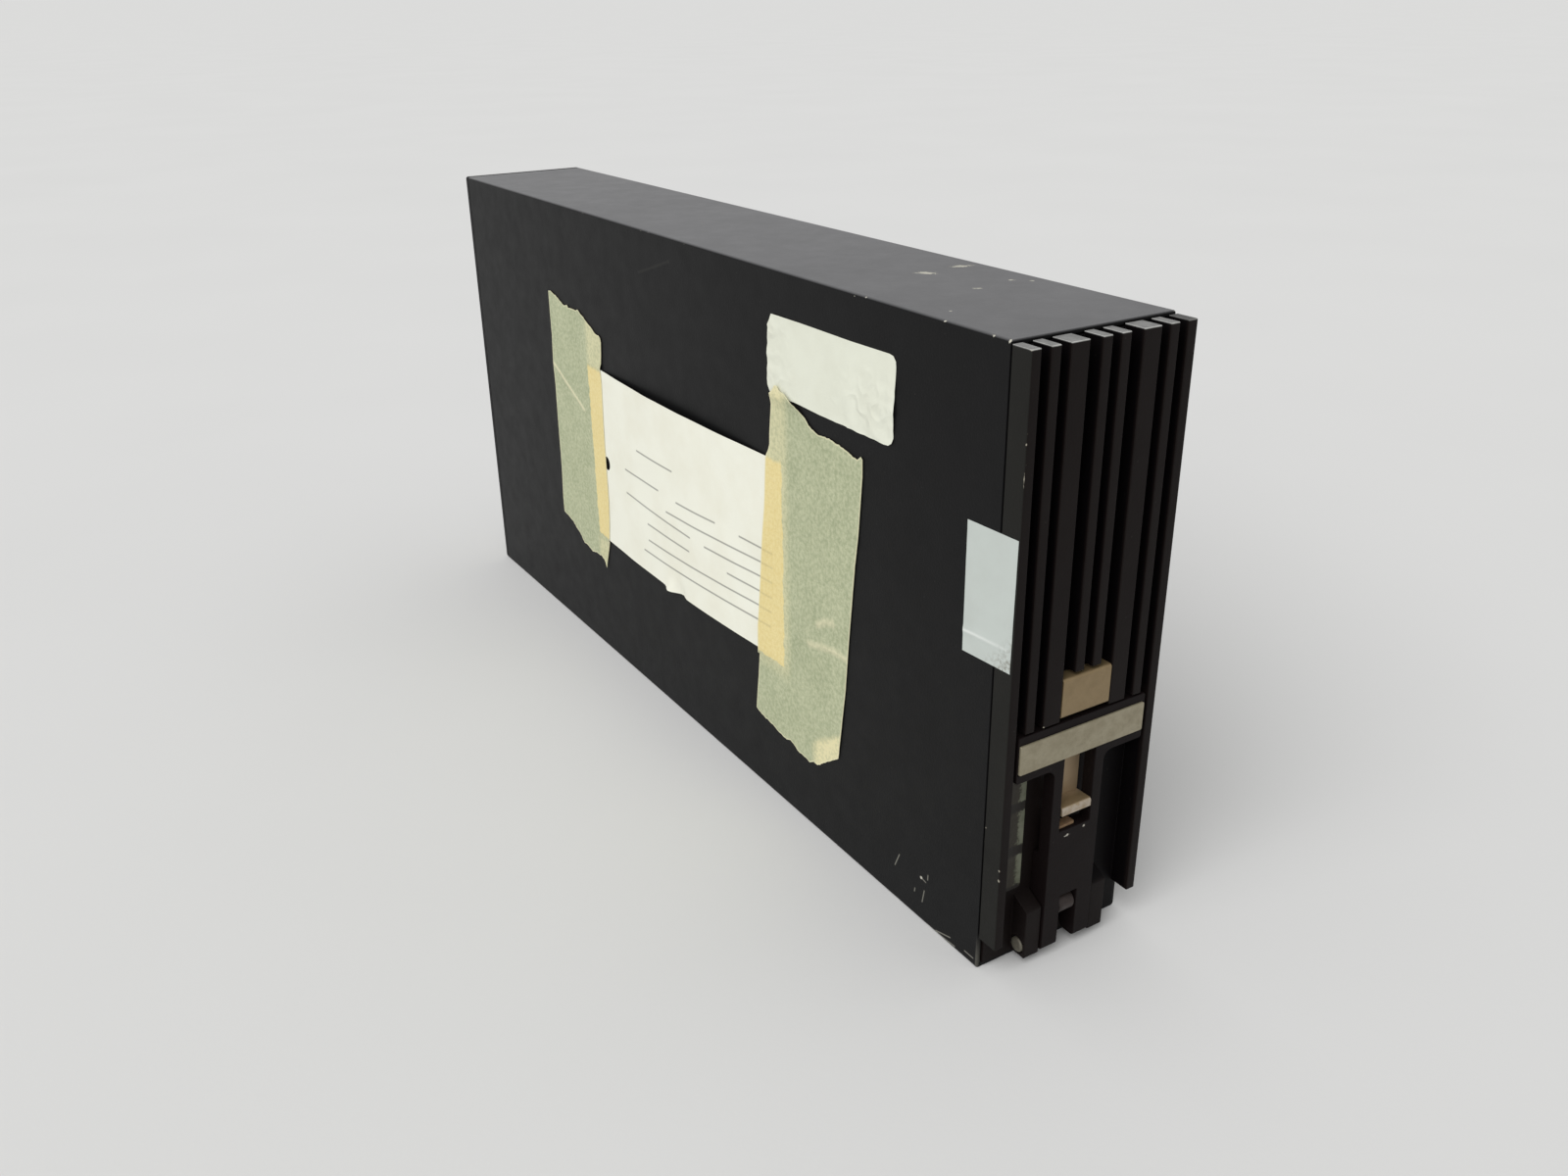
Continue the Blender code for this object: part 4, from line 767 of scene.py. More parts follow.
# Catch lever
# One bent sheet of plated steel: a thumb pad above the crossbar, a web under it and a strip
# down behind the bar to a welded tab in the window. It rocks on a rolled knuckle.
SHEET = 1.0
PAD_SIDE, STRIP_SIDE, TAB_SIDE = 9.075, 5.3, 5.6
STRIP_FACE, STRIP_TOP, STRIP_LOW = -196.1, 72.15, 46.5
PAD_PATH = ((-197.5, 97.1), (-201.8, 97.1), (-201.8, 84.6), (STRIP_FACE, 84.6),
            (STRIP_FACE, STRIP_TOP))
TAB_PATH = ((STRIP_FACE + 0.3, 53.6), (-202.0, 53.6), (-202.0, 50.9))
PAD_BEND, TAB_BEND, SHEET_EDGE = 1.0, 0.9, 0.18
KNUCKLE = (0, -194.4, 75.65)
KNUCKLE_PROFILE = ((-8.075, 1.3), (-8.075, 2.1), (-7.975, 2.2), (7.975, 2.2), (8.075, 2.1),
                   (8.075, 1.3))
PLATING, PLATING_STAIN = (0.228, 0.164, 0.083, 1), (0.194, 0.138, 0.069, 1)
STRIP_PAINTED_LIGHT, WORN_PLATING = (0.385, 0.285, 0.18, 1), (0.43, 0.375, 0.31, 1)


def bent_sheet(bm, path, side, bend):
    """A strip of sheet, not yet thick, along (y, z) points with round bends."""
    row = [bm.verts.new((-side, y, z)) for y, z in path]
    edges = [bm.edges.new(pair) for pair in zip(row, row[1:])]
    made = bmesh.ops.extrude_edge_only(bm, edges=edges)["geom"]
    bmesh.ops.translate(bm, vec=(2 * side, 0, 0), verts=verts_in(made))
    faces = [g for g in made if isinstance(g, bmesh.types.BMFace)]
    bends = {e for f in faces for e in f.edges if len(e.link_faces) == 2}
    bmesh.ops.bevel(bm, geom=list(bends), offset=bend, offset_type="OFFSET", affect="EDGES",
                    segments=5, profile=0.5, material=-1)


def faces_down(face):
    """True for a flange on top of the pad or the tab that looks down."""
    return face.normal.z < -0.9 and not 60 < face.calc_center_median().z < 96


bm = new_shape()
bent_sheet(bm, PAD_PATH, PAD_SIDE, PAD_BEND)
slice_at(bm, 0, -STRIP_SIDE, STRIP_SIDE)
draw_down(bm, STRIP_TOP, STRIP_SIDE, STRIP_LOW)
bent_sheet(bm, TAB_PATH, TAB_SIDE, TAB_BEND)
outward(bm)
if any(faces_down(f) for f in bm.faces):
    bmesh.ops.reverse_faces(bm, faces=bm.faces)
bmesh.ops.solidify(bm, geom=bm.faces[:], thickness=SHEET)
soften(bm, sharp_edges(bm, 60), SHEET_EDGE)
turned(bm, KNUCKLE, (1, 0, 0), KNUCKLE_PROFILE, 32, True)
catch_plating, shader, place, colour, roughness, height = new_skin(
    "catch_plating", worn_skin, metallic=0.4, clean=PLATING, stained=PLATING_STAIN, dull=0.6,
    polish=0.36)
_, y, z = axes(place)
lip = times(stretch(y, -201.4, -201.8), stretch(z, 55.0, 54.0))
worn = times(most(lip, times(marked(place, "edge"), 0.5)),
             stretch(grain(place, 0.5, 5.0, 0.7), 0.3, 0.55), 0.75)
# Painted light: the strip that runs down behind the bar is painted a lighter tan, as if light fell
# on it.
lit_strip = times(stretch(z, 74.0, 72.0), stretch(y, -198.5, -196.8, 0.2, 0.8))
shade = colour_mix(lit_strip, colour, STRIP_PAINTED_LIGHT)
dress(shader, colour_mix(worn, shade, WORN_PLATING), roughness, height, SKIN_RELIEF)
finish_piece("catch", bm, catch_plating, "catch", "catch_tan", "catch_lever")


# Sill pad
# A small pad of brown fibre glued on the sill of the handle's window, which keeps the catch from
# knocking on the paint.
SILL_LOW, SILL_HIGH = (-5.8, -200.4, 45.35), (1.2, -197.3, 46.3)
SILL_ROUND, SILL_EDGE = 0.6, 0.12
bm = new_shape()
block(bm, SILL_LOW, SILL_HIGH)
soften(bm, edges_along(bm, 2), SILL_ROUND, 4)
soften(bm, sharp_edges(bm, where=lambda spot: spot.z > 46.2), SILL_EDGE)
brown_fibre = worn_look("brown_fibre", (0.24, 0.15, 0.078, 1), (0.17, 0.105, 0.056, 1),
                        dull=0.9, polish=0.6, metallic=0.0)
finish_piece("sill_pad", bm, brown_fibre, "handle", "catch_tan")


# Catch spring
# A small compression spring of bright steel wire behind the pad, seated on a post in the pocket.
# Its end turns are closed, and it shortens as the pad is pressed.
SPRING_RADIUS, WIRE_RADIUS, SPRING_START = 2.8, 0.4, -191.5
COILS = ((1.0, 0.83), (3.0, 2.2), (1.0, 0.4))
STEPS_PER_TURN = 20
bm = new_shape()
wire = ring(bm, Vector((SPRING_RADIUS, SPRING_START, SPRING_AXIS)), Vector((0, 0, 1)),
            WIRE_RADIUS, 10)
wound = list({v for e in wire for v in e.verts}) + wire
for turns, pitch in COILS:
    wound = bmesh.ops.spin(bm, geom=wound, cent=(0, 0, SPRING_AXIS), axis=(0, -1, 0),
                           dvec=(0, -pitch / STEPS_PER_TURN, 0), angle=turns * math.tau,
                           steps=int(turns * STEPS_PER_TURN), use_duplicate=False)["geom_last"]
bmesh.ops.holes_fill(bm, edges=[e for e in bm.edges if e.is_boundary], sides=20)
bmesh.ops.remove_doubles(bm, verts=bm.verts, dist=1e-4)
outward(bm)
bright_steel = worn_look("bright_steel", (0.62, 0.6, 0.55, 1), (0.3, 0.27, 0.22, 1),
                         dull=0.7, polish=0.3)
spring = finish_piece("return_spring", bm, bright_steel, "chassis", "steel", "catch_spring")
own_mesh(spring)


# Paper tag
# A plain sheet of paper with ruled lines, held on the side by two strips of masking tape. It
# stands a little off the case between the strips, and its lower edge is creased.
TAG_LEFT, TAG_RIGHT, TAG_BULGE = 66.8, -86.3, 2.7
TAG = ((TAG_LEFT, 132.0), (TAG_RIGHT, 131.4), (TAG_RIGHT, 57.6), (TAG_LEFT, 55.6))
TAG_HOLE = ((53.0, 92.0), 2.9)
TAG_GRID, TAG_THICK, TAG_GLUE = 2.0, 0.1, 0.05
TAG_PAPER, TAG_STAIN = (0.80, 0.80, 0.70, 1), (0.74, 0.725, 0.61, 1)
TAG_INK = (0.13, 0.13, 0.125, 1)
TAG_RULES = (
    ((20.0, 107.0), (-10.5, 107.2)), ((33.0, 95.4), (2.0, 95.8)), ((-13.0, 95.4), (-42.0, 96.6)),
    ((-58.5, 96.7), (-79.5, 97.1)), ((33.0, 85.3), (-23.0, 84.4)), ((-4.4, 89.0), (-79.5, 91.8)),
    ((-34.0, 84.4), (-79.0, 86.1)), ((13.0, 78.2), (-21.8, 78.4)), ((-49.8, 79.4), (-78.5, 80.1)),
    ((13.0, 71.2), (-78.0, 74.5)), ((18.0, 65.4), (-77.5, 68.7)),
)
PAPER_RELIEF = 0.00005


def off_case(y, z):
    """How far the paper stands off the case, in millimetres."""
    along = (y - TAG_RIGHT) / (TAG_LEFT - TAG_RIGHT)
    if not 0 < along < 1 or not 55 < z < 133:
        return 0.0
    stand = TAG_BULGE * math.sin(math.pi * along) ** 1.2
    crease = math.exp(-((y + 6 + 0.5 * (z - 57)) / 3.5) ** 2 - ((z - 55.5) / 4.5) ** 2)
    dent = math.exp(-((y + 13) / 3.0) ** 2 - ((z - 57) / 4) ** 2)
    return stand + 2.2 * crease - 1.3 * dent + 0.25 * wave(y * 0.05, z * 0.06, 3.0)


def evenly(low, high, count):
    """The places that part a length into equal steps."""
    return [low + (high - low) * k / count for k in range(1, count)]


def sticker(points, grid, lift, thick, hole=None, rim=0.0):
    """A thin sheet on the case's left side from (y, z) points, bent by lift(y, z)."""
    bm = new_shape()
    bmesh.ops.contextual_create(bm, geom=[bm.verts.new((-CASE_SIDE, y, z)) for y, z in points])
    if rim:
        mark_edge(bm, bmesh.ops.inset_region(bm, faces=bm.faces[:], thickness=rim,
                                             use_boundary=True)["faces"])
    for axis in (1, 2):
        low = min(p[axis - 1] for p in points)
        high = max(p[axis - 1] for p in points)
        slice_at(bm, axis, *evenly(low, high, max(2, int((high - low) / grid))))
    if hole:
        middle, radius = Vector((-CASE_SIDE, *hole[0])), hole[1]
        gone = [f for f in bm.faces
                if (f.calc_center_median() - middle).length < radius + grid * 0.6]
        around = {e for f in gone for e in f.edges if sum(g in gone for g in e.link_faces) == 1}
        bmesh.ops.delete(bm, geom=gone, context="FACES")
        bmesh.ops.bridge_loops(
            bm, edges=list(around) + ring(bm, middle, Vector((1, 0, 0)), radius))
    for vert in bm.verts:
        vert.co.x -= lift(vert.co.y, vert.co.z)
    outward(bm)
    if sum(f.normal.x for f in bm.faces) > 0:
        bmesh.ops.reverse_faces(bm, faces=bm.faces)
    push(bm, bm.faces[:], (-thick, 0, 0), True)
    outward(bm)
    return bm


def paper_fibre_effect():
    """Paper or film with clouded stains and fine fibres."""
    group, given, result = new_effect("paper_fibre", SURFACE, place="Vector", paper="Color",
                                     stain="Color", age="Float")
    cloud = grain(given["place"], 0.05, 6.0, 0.6)
    fibre = grain(given["place"], 2.2, 3.0, 0.6)
    stained = times(stretch(cloud, 0.42, 0.68), given["age"])
    give(result,
         colour=colour_mix(stained, given["paper"], given["stain"]),
         roughness=stretch(fibre, 0.3, 0.7, 0.62, 0.8),
         height=calc("ADD", fibre, times(cloud, 3.0)))
    return group


paper_fibre = paper_fibre_effect()
bm = sticker(TAG, TAG_GRID, lambda y, z: TAG_GLUE + off_case(y, z), TAG_THICK, TAG_HOLE)
tag_paper, shader, place, colour, roughness, height = new_skin(
    "tag_paper", paper_fibre, specular=0.2, paper=TAG_PAPER, stain=TAG_STAIN, age=0.6)
ink = times(ruled(place, TAG_RULES, 0.55), 0.85)
dress(shader, colour_mix(ink, colour, TAG_INK), roughness, height, PAPER_RELIEF)
finish_piece("paper_tag", bm, tag_paper, "chassis", "nameplate_silver")


# Masking tape
# Two strips of crepe paper tape across the ends of the tag, torn by hand. They look greenish
# over the black case, yellow over the paper, and cream where they have let go.
LEFT_TAPE = (
    (102.8, 156.0), (100.1, 156.3), (92.8, 154.4), (87.1, 152.4), (83.6, 153.2), (82.2, 152.1),
    (78.8, 152.5), (75.5, 152.4), (73.0, 153.2), (71.0, 152.3), (68.3, 151.3), (64.2, 149.4),
    (61.0, 148.3), (58.3, 146.9), (56.0, 146.2), (53.2, 146.2), (51.9, 145.2), (51.4, 143.7),
    (52.0, 138.7), (53.5, 131.7), (52.8, 127.3), (52.9, 117.5), (54.0, 99.1), (53.8, 85.0),
    (53.7, 74.6), (54.5, 67.1), (56.4, 56.2), (62.3, 40.9), (63.6, 43.3), (66.5, 44.9),
    (71.8, 44.8), (76.2, 43.7), (82.4, 45.2), (85.2, 45.0), (89.5, 48.4), (93.7, 50.0),
    (96.1, 51.7), (102.1, 53.2), (106.0, 53.7), (106.2, 60.7), (104.9, 75.7), (104.6, 87.7),
    (103.5, 114.4), (104.0, 124.6), (103.0, 136.8), (102.9, 149.9),
)
RIGHT_TAPE = (
    (-80.4, 152.6), (-80.6, 154.2), (-82.6, 155.8), (-84.0, 157.5), (-85.4, 157.4),
    (-87.0, 156.2), (-89.6, 155.9), (-92.4, 154.3), (-94.3, 153.4), (-98.0, 151.7),
    (-100.7, 150.4), (-102.8, 148.7), (-106.2, 147.5), (-107.9, 147.0), (-110.7, 147.2),
    (-114.0, 147.5), (-117.3, 146.9), (-121.6, 146.5), (-124.3, 146.0), (-127.0, 145.1),
    (-129.3, 144.9), (-131.1, 146.3), (-132.0, 145.6), (-132.0, 140.1), (-131.3, 132.3),
    (-130.1, 119.8), (-128.6, 110.1), (-126.7, 93.5), (-124.9, 76.8), (-123.6, 63.4),
    (-121.7, 49.3), (-119.7, 36.3), (-113.9, 32.2), (-107.0, 27.2), (-104.5, 27.3),
    (-101.9, 25.7), (-99.4, 26.3), (-94.8, 26.4), (-91.5, 28.0), (-89.5, 28.5), (-86.8, 27.5),
    (-81.4, 28.0), (-76.6, 29.0), (-69.6, 29.8), (-66.0, 31.1), (-68.1, 45.8), (-69.2, 55.3),
    (-69.4, 66.5), (-72.8, 95.7), (-75.1, 113.0), (-76.6, 130.8), (-78.8, 136.2),
    (-78.9, 139.6), (-80.2, 150.1),
)
SHARP_CREASES = (((103.6, 124.3), (88.0, 117.0)), ((88.0, 117.0), (73.7, 110.3)))
SOFT_CREASES = (
    ((-101.9, 72.2), (-109.2, 74.2)), ((-109.2, 74.2), (-116.9, 75.6)),
    ((-116.9, 75.6), (-123.8, 75.6)), ((-107.4, 81.5), (-111.6, 84.1)),
    ((-111.6, 84.1), (-116.3, 85.5)),
)
TAPE_RULES = [rule for rule in TAG_RULES if rule[1][0] < -70]
TAPE_GRID, TAPE_THICK, TAPE_RIM = 1.8, 0.12, 0.45
TEAR_STEP, TEAR_RAG, TAPE_RELIEF = 0.9, 0.42, 0.00006
TAPE_GREEN = (0.315, 0.35, 0.215, 1), (0.5, 0.52, 0.345, 1)
TAPE_YELLOW = (0.70, 0.57, 0.25, 1), (0.77, 0.66, 0.335, 1)
TAPE_INK = (0.3, 0.25, 0.13, 1)
TAPE_LOOSE, TAPE_CREASE, TAPE_EDGE = (
    (0.74, 0.68, 0.41, 1), (0.74, 0.69, 0.47, 1), (0.72, 0.68, 0.46, 1))


def ramp(value, low, high):
    return min(1.0, max(0.0, (value - low) / (high - low)))


def tape_lift(y, z):
    """The tape lies on the case, the paper or the label, with small wrinkles."""
    crinkle = 0.12 * wave(y * 0.16, z * 0.05, 7.0) + 0.05 * wave(y * 0.5, z * 0.3, 1.0)
    over_label = 0.9 * ramp(z, 151.0, 153.5) * ramp(y, -70.0, -75.0)
    return 0.3 + off_case(y, z) + crinkle + over_label


def torn(points):
    """Breaks the cross cuts of an outline into short ragged steps, as when torn by hand."""
    ragged = []
    for (y, z), (next_y, next_z) in zip(points, points[1:] + points[:1]):
        across = abs(next_y - y) > 0.6 * abs(next_z - z)
        length = math.dist((y, z), (next_y, next_z))
        count = max(1, int(length / TEAR_STEP)) if across else 1
        for k in range(count):
            share = k / count
            off = TEAR_RAG * wave(y + k * TEAR_STEP, z * 1.7, 4.0) if k else 0.0
            ragged.append((y + (next_y - y) * share, z + (next_z - z) * share + off))
    return ragged


def let_go(y, z):
    """1 where a tape stands off what it covers, 0 where it is pressed down."""
    if y > 0:
        return 0.5 * max(ramp(y, 66.8, 65.2) * ramp(z, 130.0, 133.0),
                         ramp(y, 69.0, 66.5) * ramp(z, 57.0, 53.0))
    above = 0.15 * ramp(y, -93.0, -86.5) * ramp(z, 129.0, 134.0)
    beside = 0.5 * ramp(y, -91.0, -87.0) * ramp(z, 50.0, 57.0)
    end = 0.95 * ramp(37.5 - 0.607 * (y + 107.1) - z, -0.6, 1.4) * ramp(y, -103.0, -107.0)
    fold = ramp(y, -92.0, -87.5) * ramp(z, 151.5, 154.0)
    return max(above, beside, end, fold)


masking_tape, shader, place = new_look("masking_tape", specular=0.25)
_, y, z = axes(place)
wander = stretch(grain(place, 0.3, 4.0), 0.3, 0.7, -0.5, 0.5)
along, up = calc("ADD", y, wander), calc("ADD", z, wander)
over_tag = times(stretch(along, TAG_RIGHT - 0.2, TAG_RIGHT + 0.3),
                 stretch(along, TAG_LEFT + 0.2, TAG_LEFT - 0.3),
                 stretch(up, 56.2, 56.6), stretch(up, 132.2, 130.6))
fibre = stretch(grain(place, 0.75, 3.0, 0.7), 0.36, 0.64)
cloud = stretch(grain(place, 0.07, 5.0, 0.6), 0.35, 0.65)
crepe = add("Mapping", {"Vector": place, "Scale": (1, 0.35, 1.6)}).outputs[0]
ribs = grain(crepe, 1.2, 3.0)
tone = calc("ADD", times(fibre, 0.75), times(cloud, 0.25))
loose = times(marked(place, "let_go"), stretch(fibre, 0.2, 0.6, 0.7, 1.0))
on_black = colour_mix(loose, colour_mix(tone, *TAPE_GREEN), TAPE_LOOSE)
ink = times(ruled(place, TAPE_RULES, 0.7), 0.3)
on_paper = colour_mix(ink, colour_mix(tone, *TAPE_YELLOW), TAPE_INK)
shade = colour_mix(over_tag, on_black, on_paper)
soft = times(ruled(place, SOFT_CREASES, 2.0), stretch(fibre, 0.0, 1.0, 0.8, 1.1), 0.75)
crease = most(ruled(place, SHARP_CREASES, 1.3), soft)
shade = colour_mix(times(crease, 0.8), shade, TAPE_CREASE)
shade = colour_mix(times(marked(place, "edge"), 0.6), shade, TAPE_EDGE)
relief = calc("ADD", ribs, fibre, times(crease, 3.0))
dress(shader, shade, stretch(ribs, 0.3, 0.7, 0.5, 0.68), relief, TAPE_RELIEF)
for name, outline in (("tape_left", LEFT_TAPE), ("tape_right", RIGHT_TAPE)):
    bm = sticker(torn(outline), TAPE_GRID, tape_lift, TAPE_THICK, rim=TAPE_RIM)
    mark = bm.verts.layers.float.new("let_go")
    for vert in bm.verts:
        vert[mark] = let_go(vert.co.y, vert.co.z)
    finish_piece(name, bm, masking_tape, "chassis", "nameplate_silver")


# White label
# A blank paper label with rounded corners, glued to the side near the front. One end has been
# rubbed and crumpled, and the tape's torn end lies over its lower edge.
WHITE_LABEL = (
    (-81.5, 179.9), (-79.3, 176.1), (-78.7, 163.1), (-78.8, 156.5), (-80.6, 153.6),
    (-94.2, 154.0), (-108.5, 153.5), (-124.8, 153.6), (-142.5, 153.4), (-144.9, 153.6),
    (-146.3, 154.5), (-146.8, 156.1), (-147.1, 166.4), (-147.4, 176.8), (-147.2, 178.5),
    (-146.0, 179.8), (-144.1, 180.1), (-124.5, 179.8), (-103.2, 179.9),
)
LABEL_GRID, LABEL_THICK = 1.6, 0.08
LABEL_PAPER, LABEL_STAIN = (0.715, 0.73, 0.625, 1), (0.64, 0.645, 0.54, 1)


def label_lift(y, z):
    """A flat label with a rumpled left end and small wrinkles low on the right."""
    ripple = 0.05 * (1 + wave(y * 0.2, z * 0.2, 5.0))
    rumple = 0.4 * ramp(y, -98, -80) * (1 + wave(y * 0.45, z * 0.35, 2.0))
    ridge = (1 - abs(wave(y * 0.16, z * 0.22, 8.0))) ** 4
    return 0.02 + ripple + rumple + 0.6 * ridge * ramp(y, -112, -126) * ramp(z, 176, 166)


bm = sticker(WHITE_LABEL, LABEL_GRID, label_lift, LABEL_THICK)
label_paper, shader, place, colour, roughness, height = new_skin(
    "label_paper", paper_fibre, specular=0.3, paper=LABEL_PAPER, stain=LABEL_STAIN, age=0.6)
_, y, z = axes(place)
low_right = times(stretch(y, -112.0, -130.0), stretch(z, 176.0, 164.0))
rumpled = most(stretch(y, -100.0, -82.0), low_right)
ridge = calc("SUBTRACT", grain(place, 0.13, 1.0, 0.4), 0.5)
ridge = add("Math", {0: ridge}, operation="ABSOLUTE").outputs[0]
ridge = times(stretch(ridge, 0.12, 0.0), rumpled, 5.0)
dress(shader, colour, roughness, calc("ADD", ridge, height), PAPER_RELIEF)
finish_piece("white_label", bm, label_paper, "chassis", "nameplate_silver")


# Silver seal
# A thin silvered sticker across the joint of case and front. It has a crease near its foot,
# and its lower front corner is grimy.
SEAL = ((-180.9, 142.7), (-201.4, 143.2), (-201.0, 104.4), (-181.0, 103.4))
SEAL_CREASE = (((-181.2, 109.9), (-186.0, 110.3)), ((-186.0, 110.3), (-199.5, 111.0)))
SEAL_GRID, SEAL_THICK, SEAL_RIM = 1.0, 0.06, 0.3
SEAL_SILVER, SEAL_STAIN = (0.5, 0.54, 0.51, 1), (0.45, 0.48, 0.45, 1)
SEAL_BRIGHT, SEAL_GRIME = (0.78, 0.8, 0.77, 1), (0.14, 0.12, 0.085, 1)


def seal_lift(y, z):
    """A film that lies flat but for the crease near its foot."""
    crease = math.exp(-(z - 110.5 + 0.05 * (y + 190)) ** 2) * ramp(y, -202, -188)
    return 0.03 + 0.2 * crease + 0.04 * (1 + wave(y * 0.3, z * 0.3, 9.0))


bm = sticker(SEAL, SEAL_GRID, seal_lift, SEAL_THICK, rim=SEAL_RIM)
seal_film, shader, place, colour, roughness, height = new_skin(
    "seal_film", paper_fibre, specular=0.4, paper=SEAL_SILVER, stain=SEAL_STAIN, age=0.7)
_, y, z = axes(place)
low_corner = stretch(calc("ADD", y, z, 92.0), 8.0, -2.0)
grime = times(low_corner, stretch(grain(place, 0.7, 6.0, 0.75), 0.46, 0.6), 0.7)
crease = times(ruled(place, SEAL_CREASE, 0.75), stretch(y, -200.0, -184.0, 0.3, 1.0), 0.7)
shade = colour_mix(crease, colour, SEAL_BRIGHT)
dress(shader, colour_mix(grime, shade, SEAL_GRIME), roughness, height, FOIL_RELIEF)
finish_piece("seal", bm, seal_film, "chassis", "nameplate_silver")


# Rear panel
# A painted aluminium plate that closes the sleeve, with the connector's opening. Four pan-headed
# screws through it into the rails clamp the sleeve against the front.
PANEL_FACE, PANEL_EDGE = 194.0, 0.3
REAR_BLACK = (0.0075, 0.0075, 0.008, 1)
REAR_CHIPS = (
    ((-27.9, 193.8, 40.0), (0.7, 0.6, 2.2)), ((20.0, 193.8, 193.5), (3.0, 0.6, 0.5)),
    ((24.5, 194.0, 186.0), (2.0, 0.6, 0.3), (0, 0.6, 0)),
    ((-10.0, 194.0, 150.0), (3.5, 0.6, 0.2), (0, 0.3, 0)),
)


def copy_of(name):
    """A merged copy of a part's own mesh, in millimetres."""
    bm = new_shape()
    bm.from_mesh(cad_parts[name].data)
    bmesh.ops.scale(bm, vec=(1000, 1000, 1000), verts=bm.verts)
    bmesh.ops.remove_doubles(bm, verts=bm.verts, dist=0.002)
    flatten(bm)
    return bm


bm = copy_of("rear_panel")
soften(bm, sharp_edges(bm, 60, lambda spot: spot.y > PANEL_FACE - 0.1), PANEL_EDGE)
rear_paint, shader, place = new_look("rear_paint", specular=0.1)
painted(shader, place, REAR_BLACK, BARE_METAL, 0.5, -0.01, chipped(place, REAR_CHIPS))
finish_piece("back_plate", bm, rear_paint, "chassis", "case_black", "rear_panel")
screw_steel = worn_look("screw_steel", (0.5, 0.49, 0.46, 1), (0.28, 0.26, 0.22, 1),
                        dull=0.7, polish=0.36)
dress_parts(screw_steel, *[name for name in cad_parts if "_screw" in name])


# Rear connector
# A rack connector: a die-cast, chromated shell with three moulded inserts full of brass contacts
# and a keying bay, screwed to the rear panel.
CONTACT_COLUMNS, CONTACT_ROWS = 7, 10
CONTACT_GAP, CONTACT_CORNER, CONTACT_LARGEST = 0.62, 0.42, 2.6
CONTACT_WALL, CONTACT_DEPTH = 0.14, 1.3
SHELL_EDGE = 0.25
INSERT_GREEN, INSERT_STAIN = (0.035, 0.13, 0.09, 1), (0.025, 0.09, 0.06, 1)
CONTACT_BRASS = (0.62, 0.46, 0.2, 1)
bm = copy_of("connector_shell")
soften(bm, sharp_edges(bm, 60), SHELL_EDGE)
shell_alloy = worn_look("shell_alloy", (0.46, 0.43, 0.33, 1), (0.33, 0.3, 0.22, 1),
                        dull=0.8, polish=0.42)
finish_piece("connector_housing", bm, shell_alloy, "chassis", "frame_aluminium", "connector_shell")
insert_resin, shader, place, colour, roughness, height = new_skin(
    "insert_resin", worn_skin, clean=INSERT_GREEN, stained=INSERT_STAIN, dull=0.8, polish=0.45)
contact = marked(place, "edge")
join(contact, shader.inputs["Metallic"])
dress(shader, colour_mix(contact, colour, CONTACT_BRASS), roughness, height, SKIN_RELIEF)
for letter in "abc":
    node = "connector_insert_" + letter
    low, high = (Vector(corner) * 1000 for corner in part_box(node))
    bm = new_shape()
    block(bm, low, high)
    slice_at(bm, 0, *evenly(low.x, high.x, CONTACT_COLUMNS))
    slice_at(bm, 2, *evenly(low.z, high.z, CONTACT_ROWS))
    holes = cells(bm, 1, high.y)
    bmesh.ops.inset_individual(bm, faces=holes, thickness=CONTACT_GAP, use_even_offset=True)
    bmesh.ops.bevel(bm, geom=[v for f in holes for v in f.verts], offset=CONTACT_CORNER,
                    offset_type="OFFSET", affect="VERTICES", segments=1, profile=0.5, material=-1)
    holes = [f for f in cells(bm, 1, high.y)
             if len(f.verts) == 8 and f.calc_area() < CONTACT_LARGEST]
    bmesh.ops.inset_individual(bm, faces=holes, thickness=CONTACT_WALL, depth=-CONTACT_DEPTH,
                               use_even_offset=True)
    mark_edge(bm, holes)
    finish_piece("contact_insert_" + letter, bm, insert_resin, "chassis", "insert_green", node)
dress_parts(screw_steel, "keying_post_1", "keying_post_2", "keying_post_3")


# Inside
# Four rails tie front and back, and moulded guides hold three boards in a backplane. Each part
# keeps its own shape and gets the finish of its material.
frame_alloy = worn_look("frame_alloy", (0.6, 0.6, 0.58, 1), (0.42, 0.41, 0.38, 1),
                        dull=0.6, polish=0.4)
board_resin = worn_look("board_resin", (0.03, 0.11, 0.045, 1), (0.022, 0.075, 0.03, 1),
                        dull=0.8, polish=0.38, metallic=0.0)
black_resin = worn_look("black_resin", (0.018, 0.018, 0.019, 1), (0.03, 0.03, 0.03, 1),
                        dull=0.8, polish=0.48, metallic=0.0)
core_varnish = worn_look("core_varnish", (0.18, 0.085, 0.04, 1), (0.1, 0.05, 0.028, 1),
                         dull=0.8, polish=0.4, metallic=0.0)
can_sleeve = worn_look("can_sleeve", (0.03, 0.075, 0.24, 1), (0.022, 0.05, 0.16, 1),
                       dull=0.7, polish=0.36, metallic=0.0)
rails = [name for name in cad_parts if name.startswith(("rail_", "standoff_"))]
dress_parts(frame_alloy, *rails)
dress_parts(screw_steel, "catch_pivot_pin", "oscillator_can", "backup_battery", "emi_filter")
dress_parts(board_resin, "backplane_board", "interface_board", "processor_board", "power_board")
dress_parts(black_resin, "lower_card_guide", "upper_card_guide", "interface_socket",
            "processor_socket", "power_socket", "processor_chip", "memory_module",
            "power_transistor_1", "power_transistor_2")
dress_parts(core_varnish, "transformer")
dress_parts(can_sleeve, "capacitor_1", "capacitor_2")


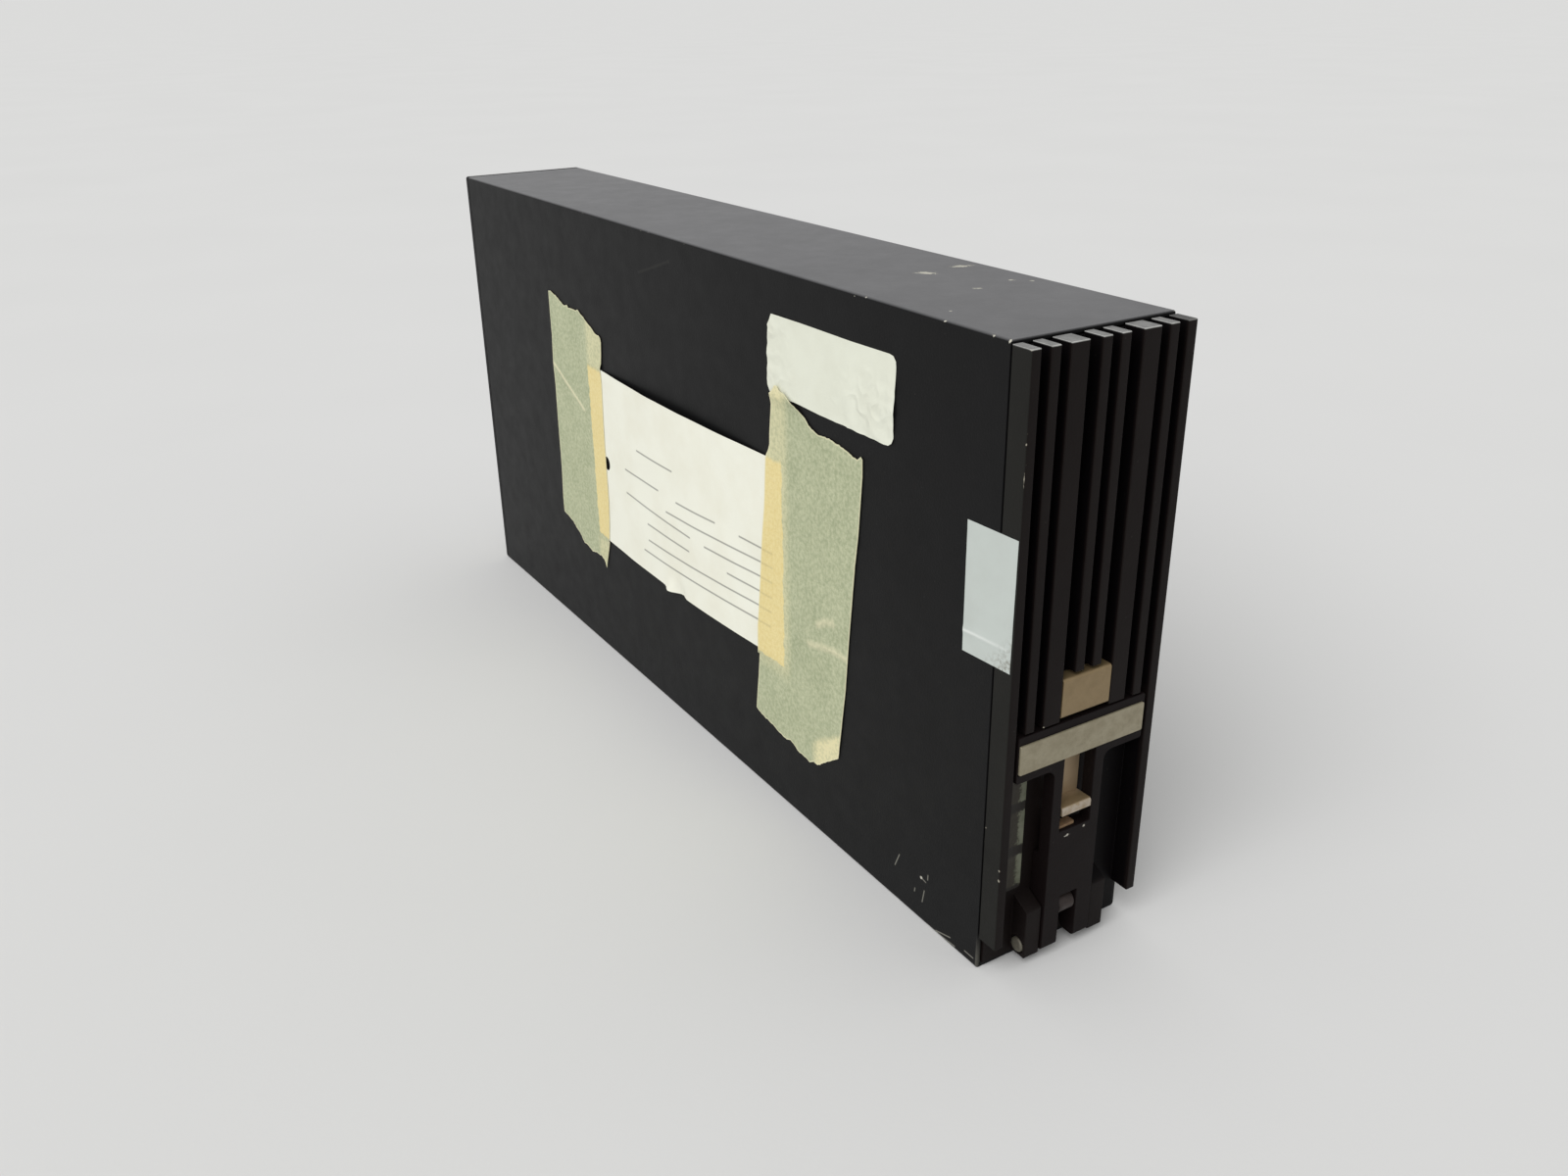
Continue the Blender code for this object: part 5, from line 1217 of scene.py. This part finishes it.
# Studio
# A plain pale floor, one large soft sun from the upper front left and an even sky. The camera is
# fitted to the corners of the case.
GROUND_RADIUS, GROUND_RELIEF = 150.0, 0.00002
GROUND_TONES = (0.66, 0.66, 0.655, 1), (0.69, 0.69, 0.685, 1)
SUN_WAY, SUN_ENERGY, SUN_SPREAD = Vector((0.85, 0.38, -0.9)), 2.0, math.radians(50)
SKY_GREY, SKY_UNSEEN, SKY_SEEN = (0.72, 0.72, 0.715, 1), 0.85, 1.0
EYE, AIM = Vector((-0.24549, -0.438715, 0.27399)), Vector((-0.01419, -0.062555, 0.07423))
LENS, ROLL, CLIP = 30.6, math.radians(-0.926), (0.01, 400)

floor_paint, shader, place = new_look("floor_paint", specular=0.0)
dress(shader, colour_mix(grain(place, 0.004, 3.0), *GROUND_TONES),
      stretch(grain(place, 0.5), 0.3, 0.7, 0.85, 0.95), grain(place, 0.8), GROUND_RELIEF)
bm = bmesh.new()
bmesh.ops.create_circle(bm, cap_ends=True, segments=64, radius=GROUND_RADIUS)
new_object("floor", new_mesh("floor", bm, floor_paint))

sun = bpy.data.lights.new("soft_sun", "SUN")
sun.energy = SUN_ENERGY
sun.angle = SUN_SPREAD
new_object("soft_sun", sun).rotation_euler = SUN_WAY.to_track_quat("-Z", "Y").to_euler()

world = bpy.data.worlds.new("sky")
bpy.context.scene.world = world
world.use_nodes = True
tree = world.node_tree
ray = tree.nodes.new("ShaderNodeLightPath").outputs
seen = most(ray["Is Camera Ray"], ray["Is Glossy Ray"], ray["Is Transmission Ray"])
sky = tree.nodes["Background"]
sky.inputs["Color"].default_value = SKY_GREY
join(stretch(seen, 0.0, 1.0, SKY_UNSEEN, SKY_SEEN), sky.inputs["Strength"])

camera = new_object("camera", bpy.data.cameras.new("camera"))
camera.data.lens = LENS
camera.data.clip_start, camera.data.clip_end = CLIP
camera.location = EYE
camera.rotation_mode = "QUATERNION"
camera.rotation_quaternion = (AIM - EYE).to_track_quat("-Z", "Y") @ Quaternion((0, 0, 1), ROLL)
bpy.context.scene.camera = camera
bpy.context.scene.view_settings.view_transform = "Standard"
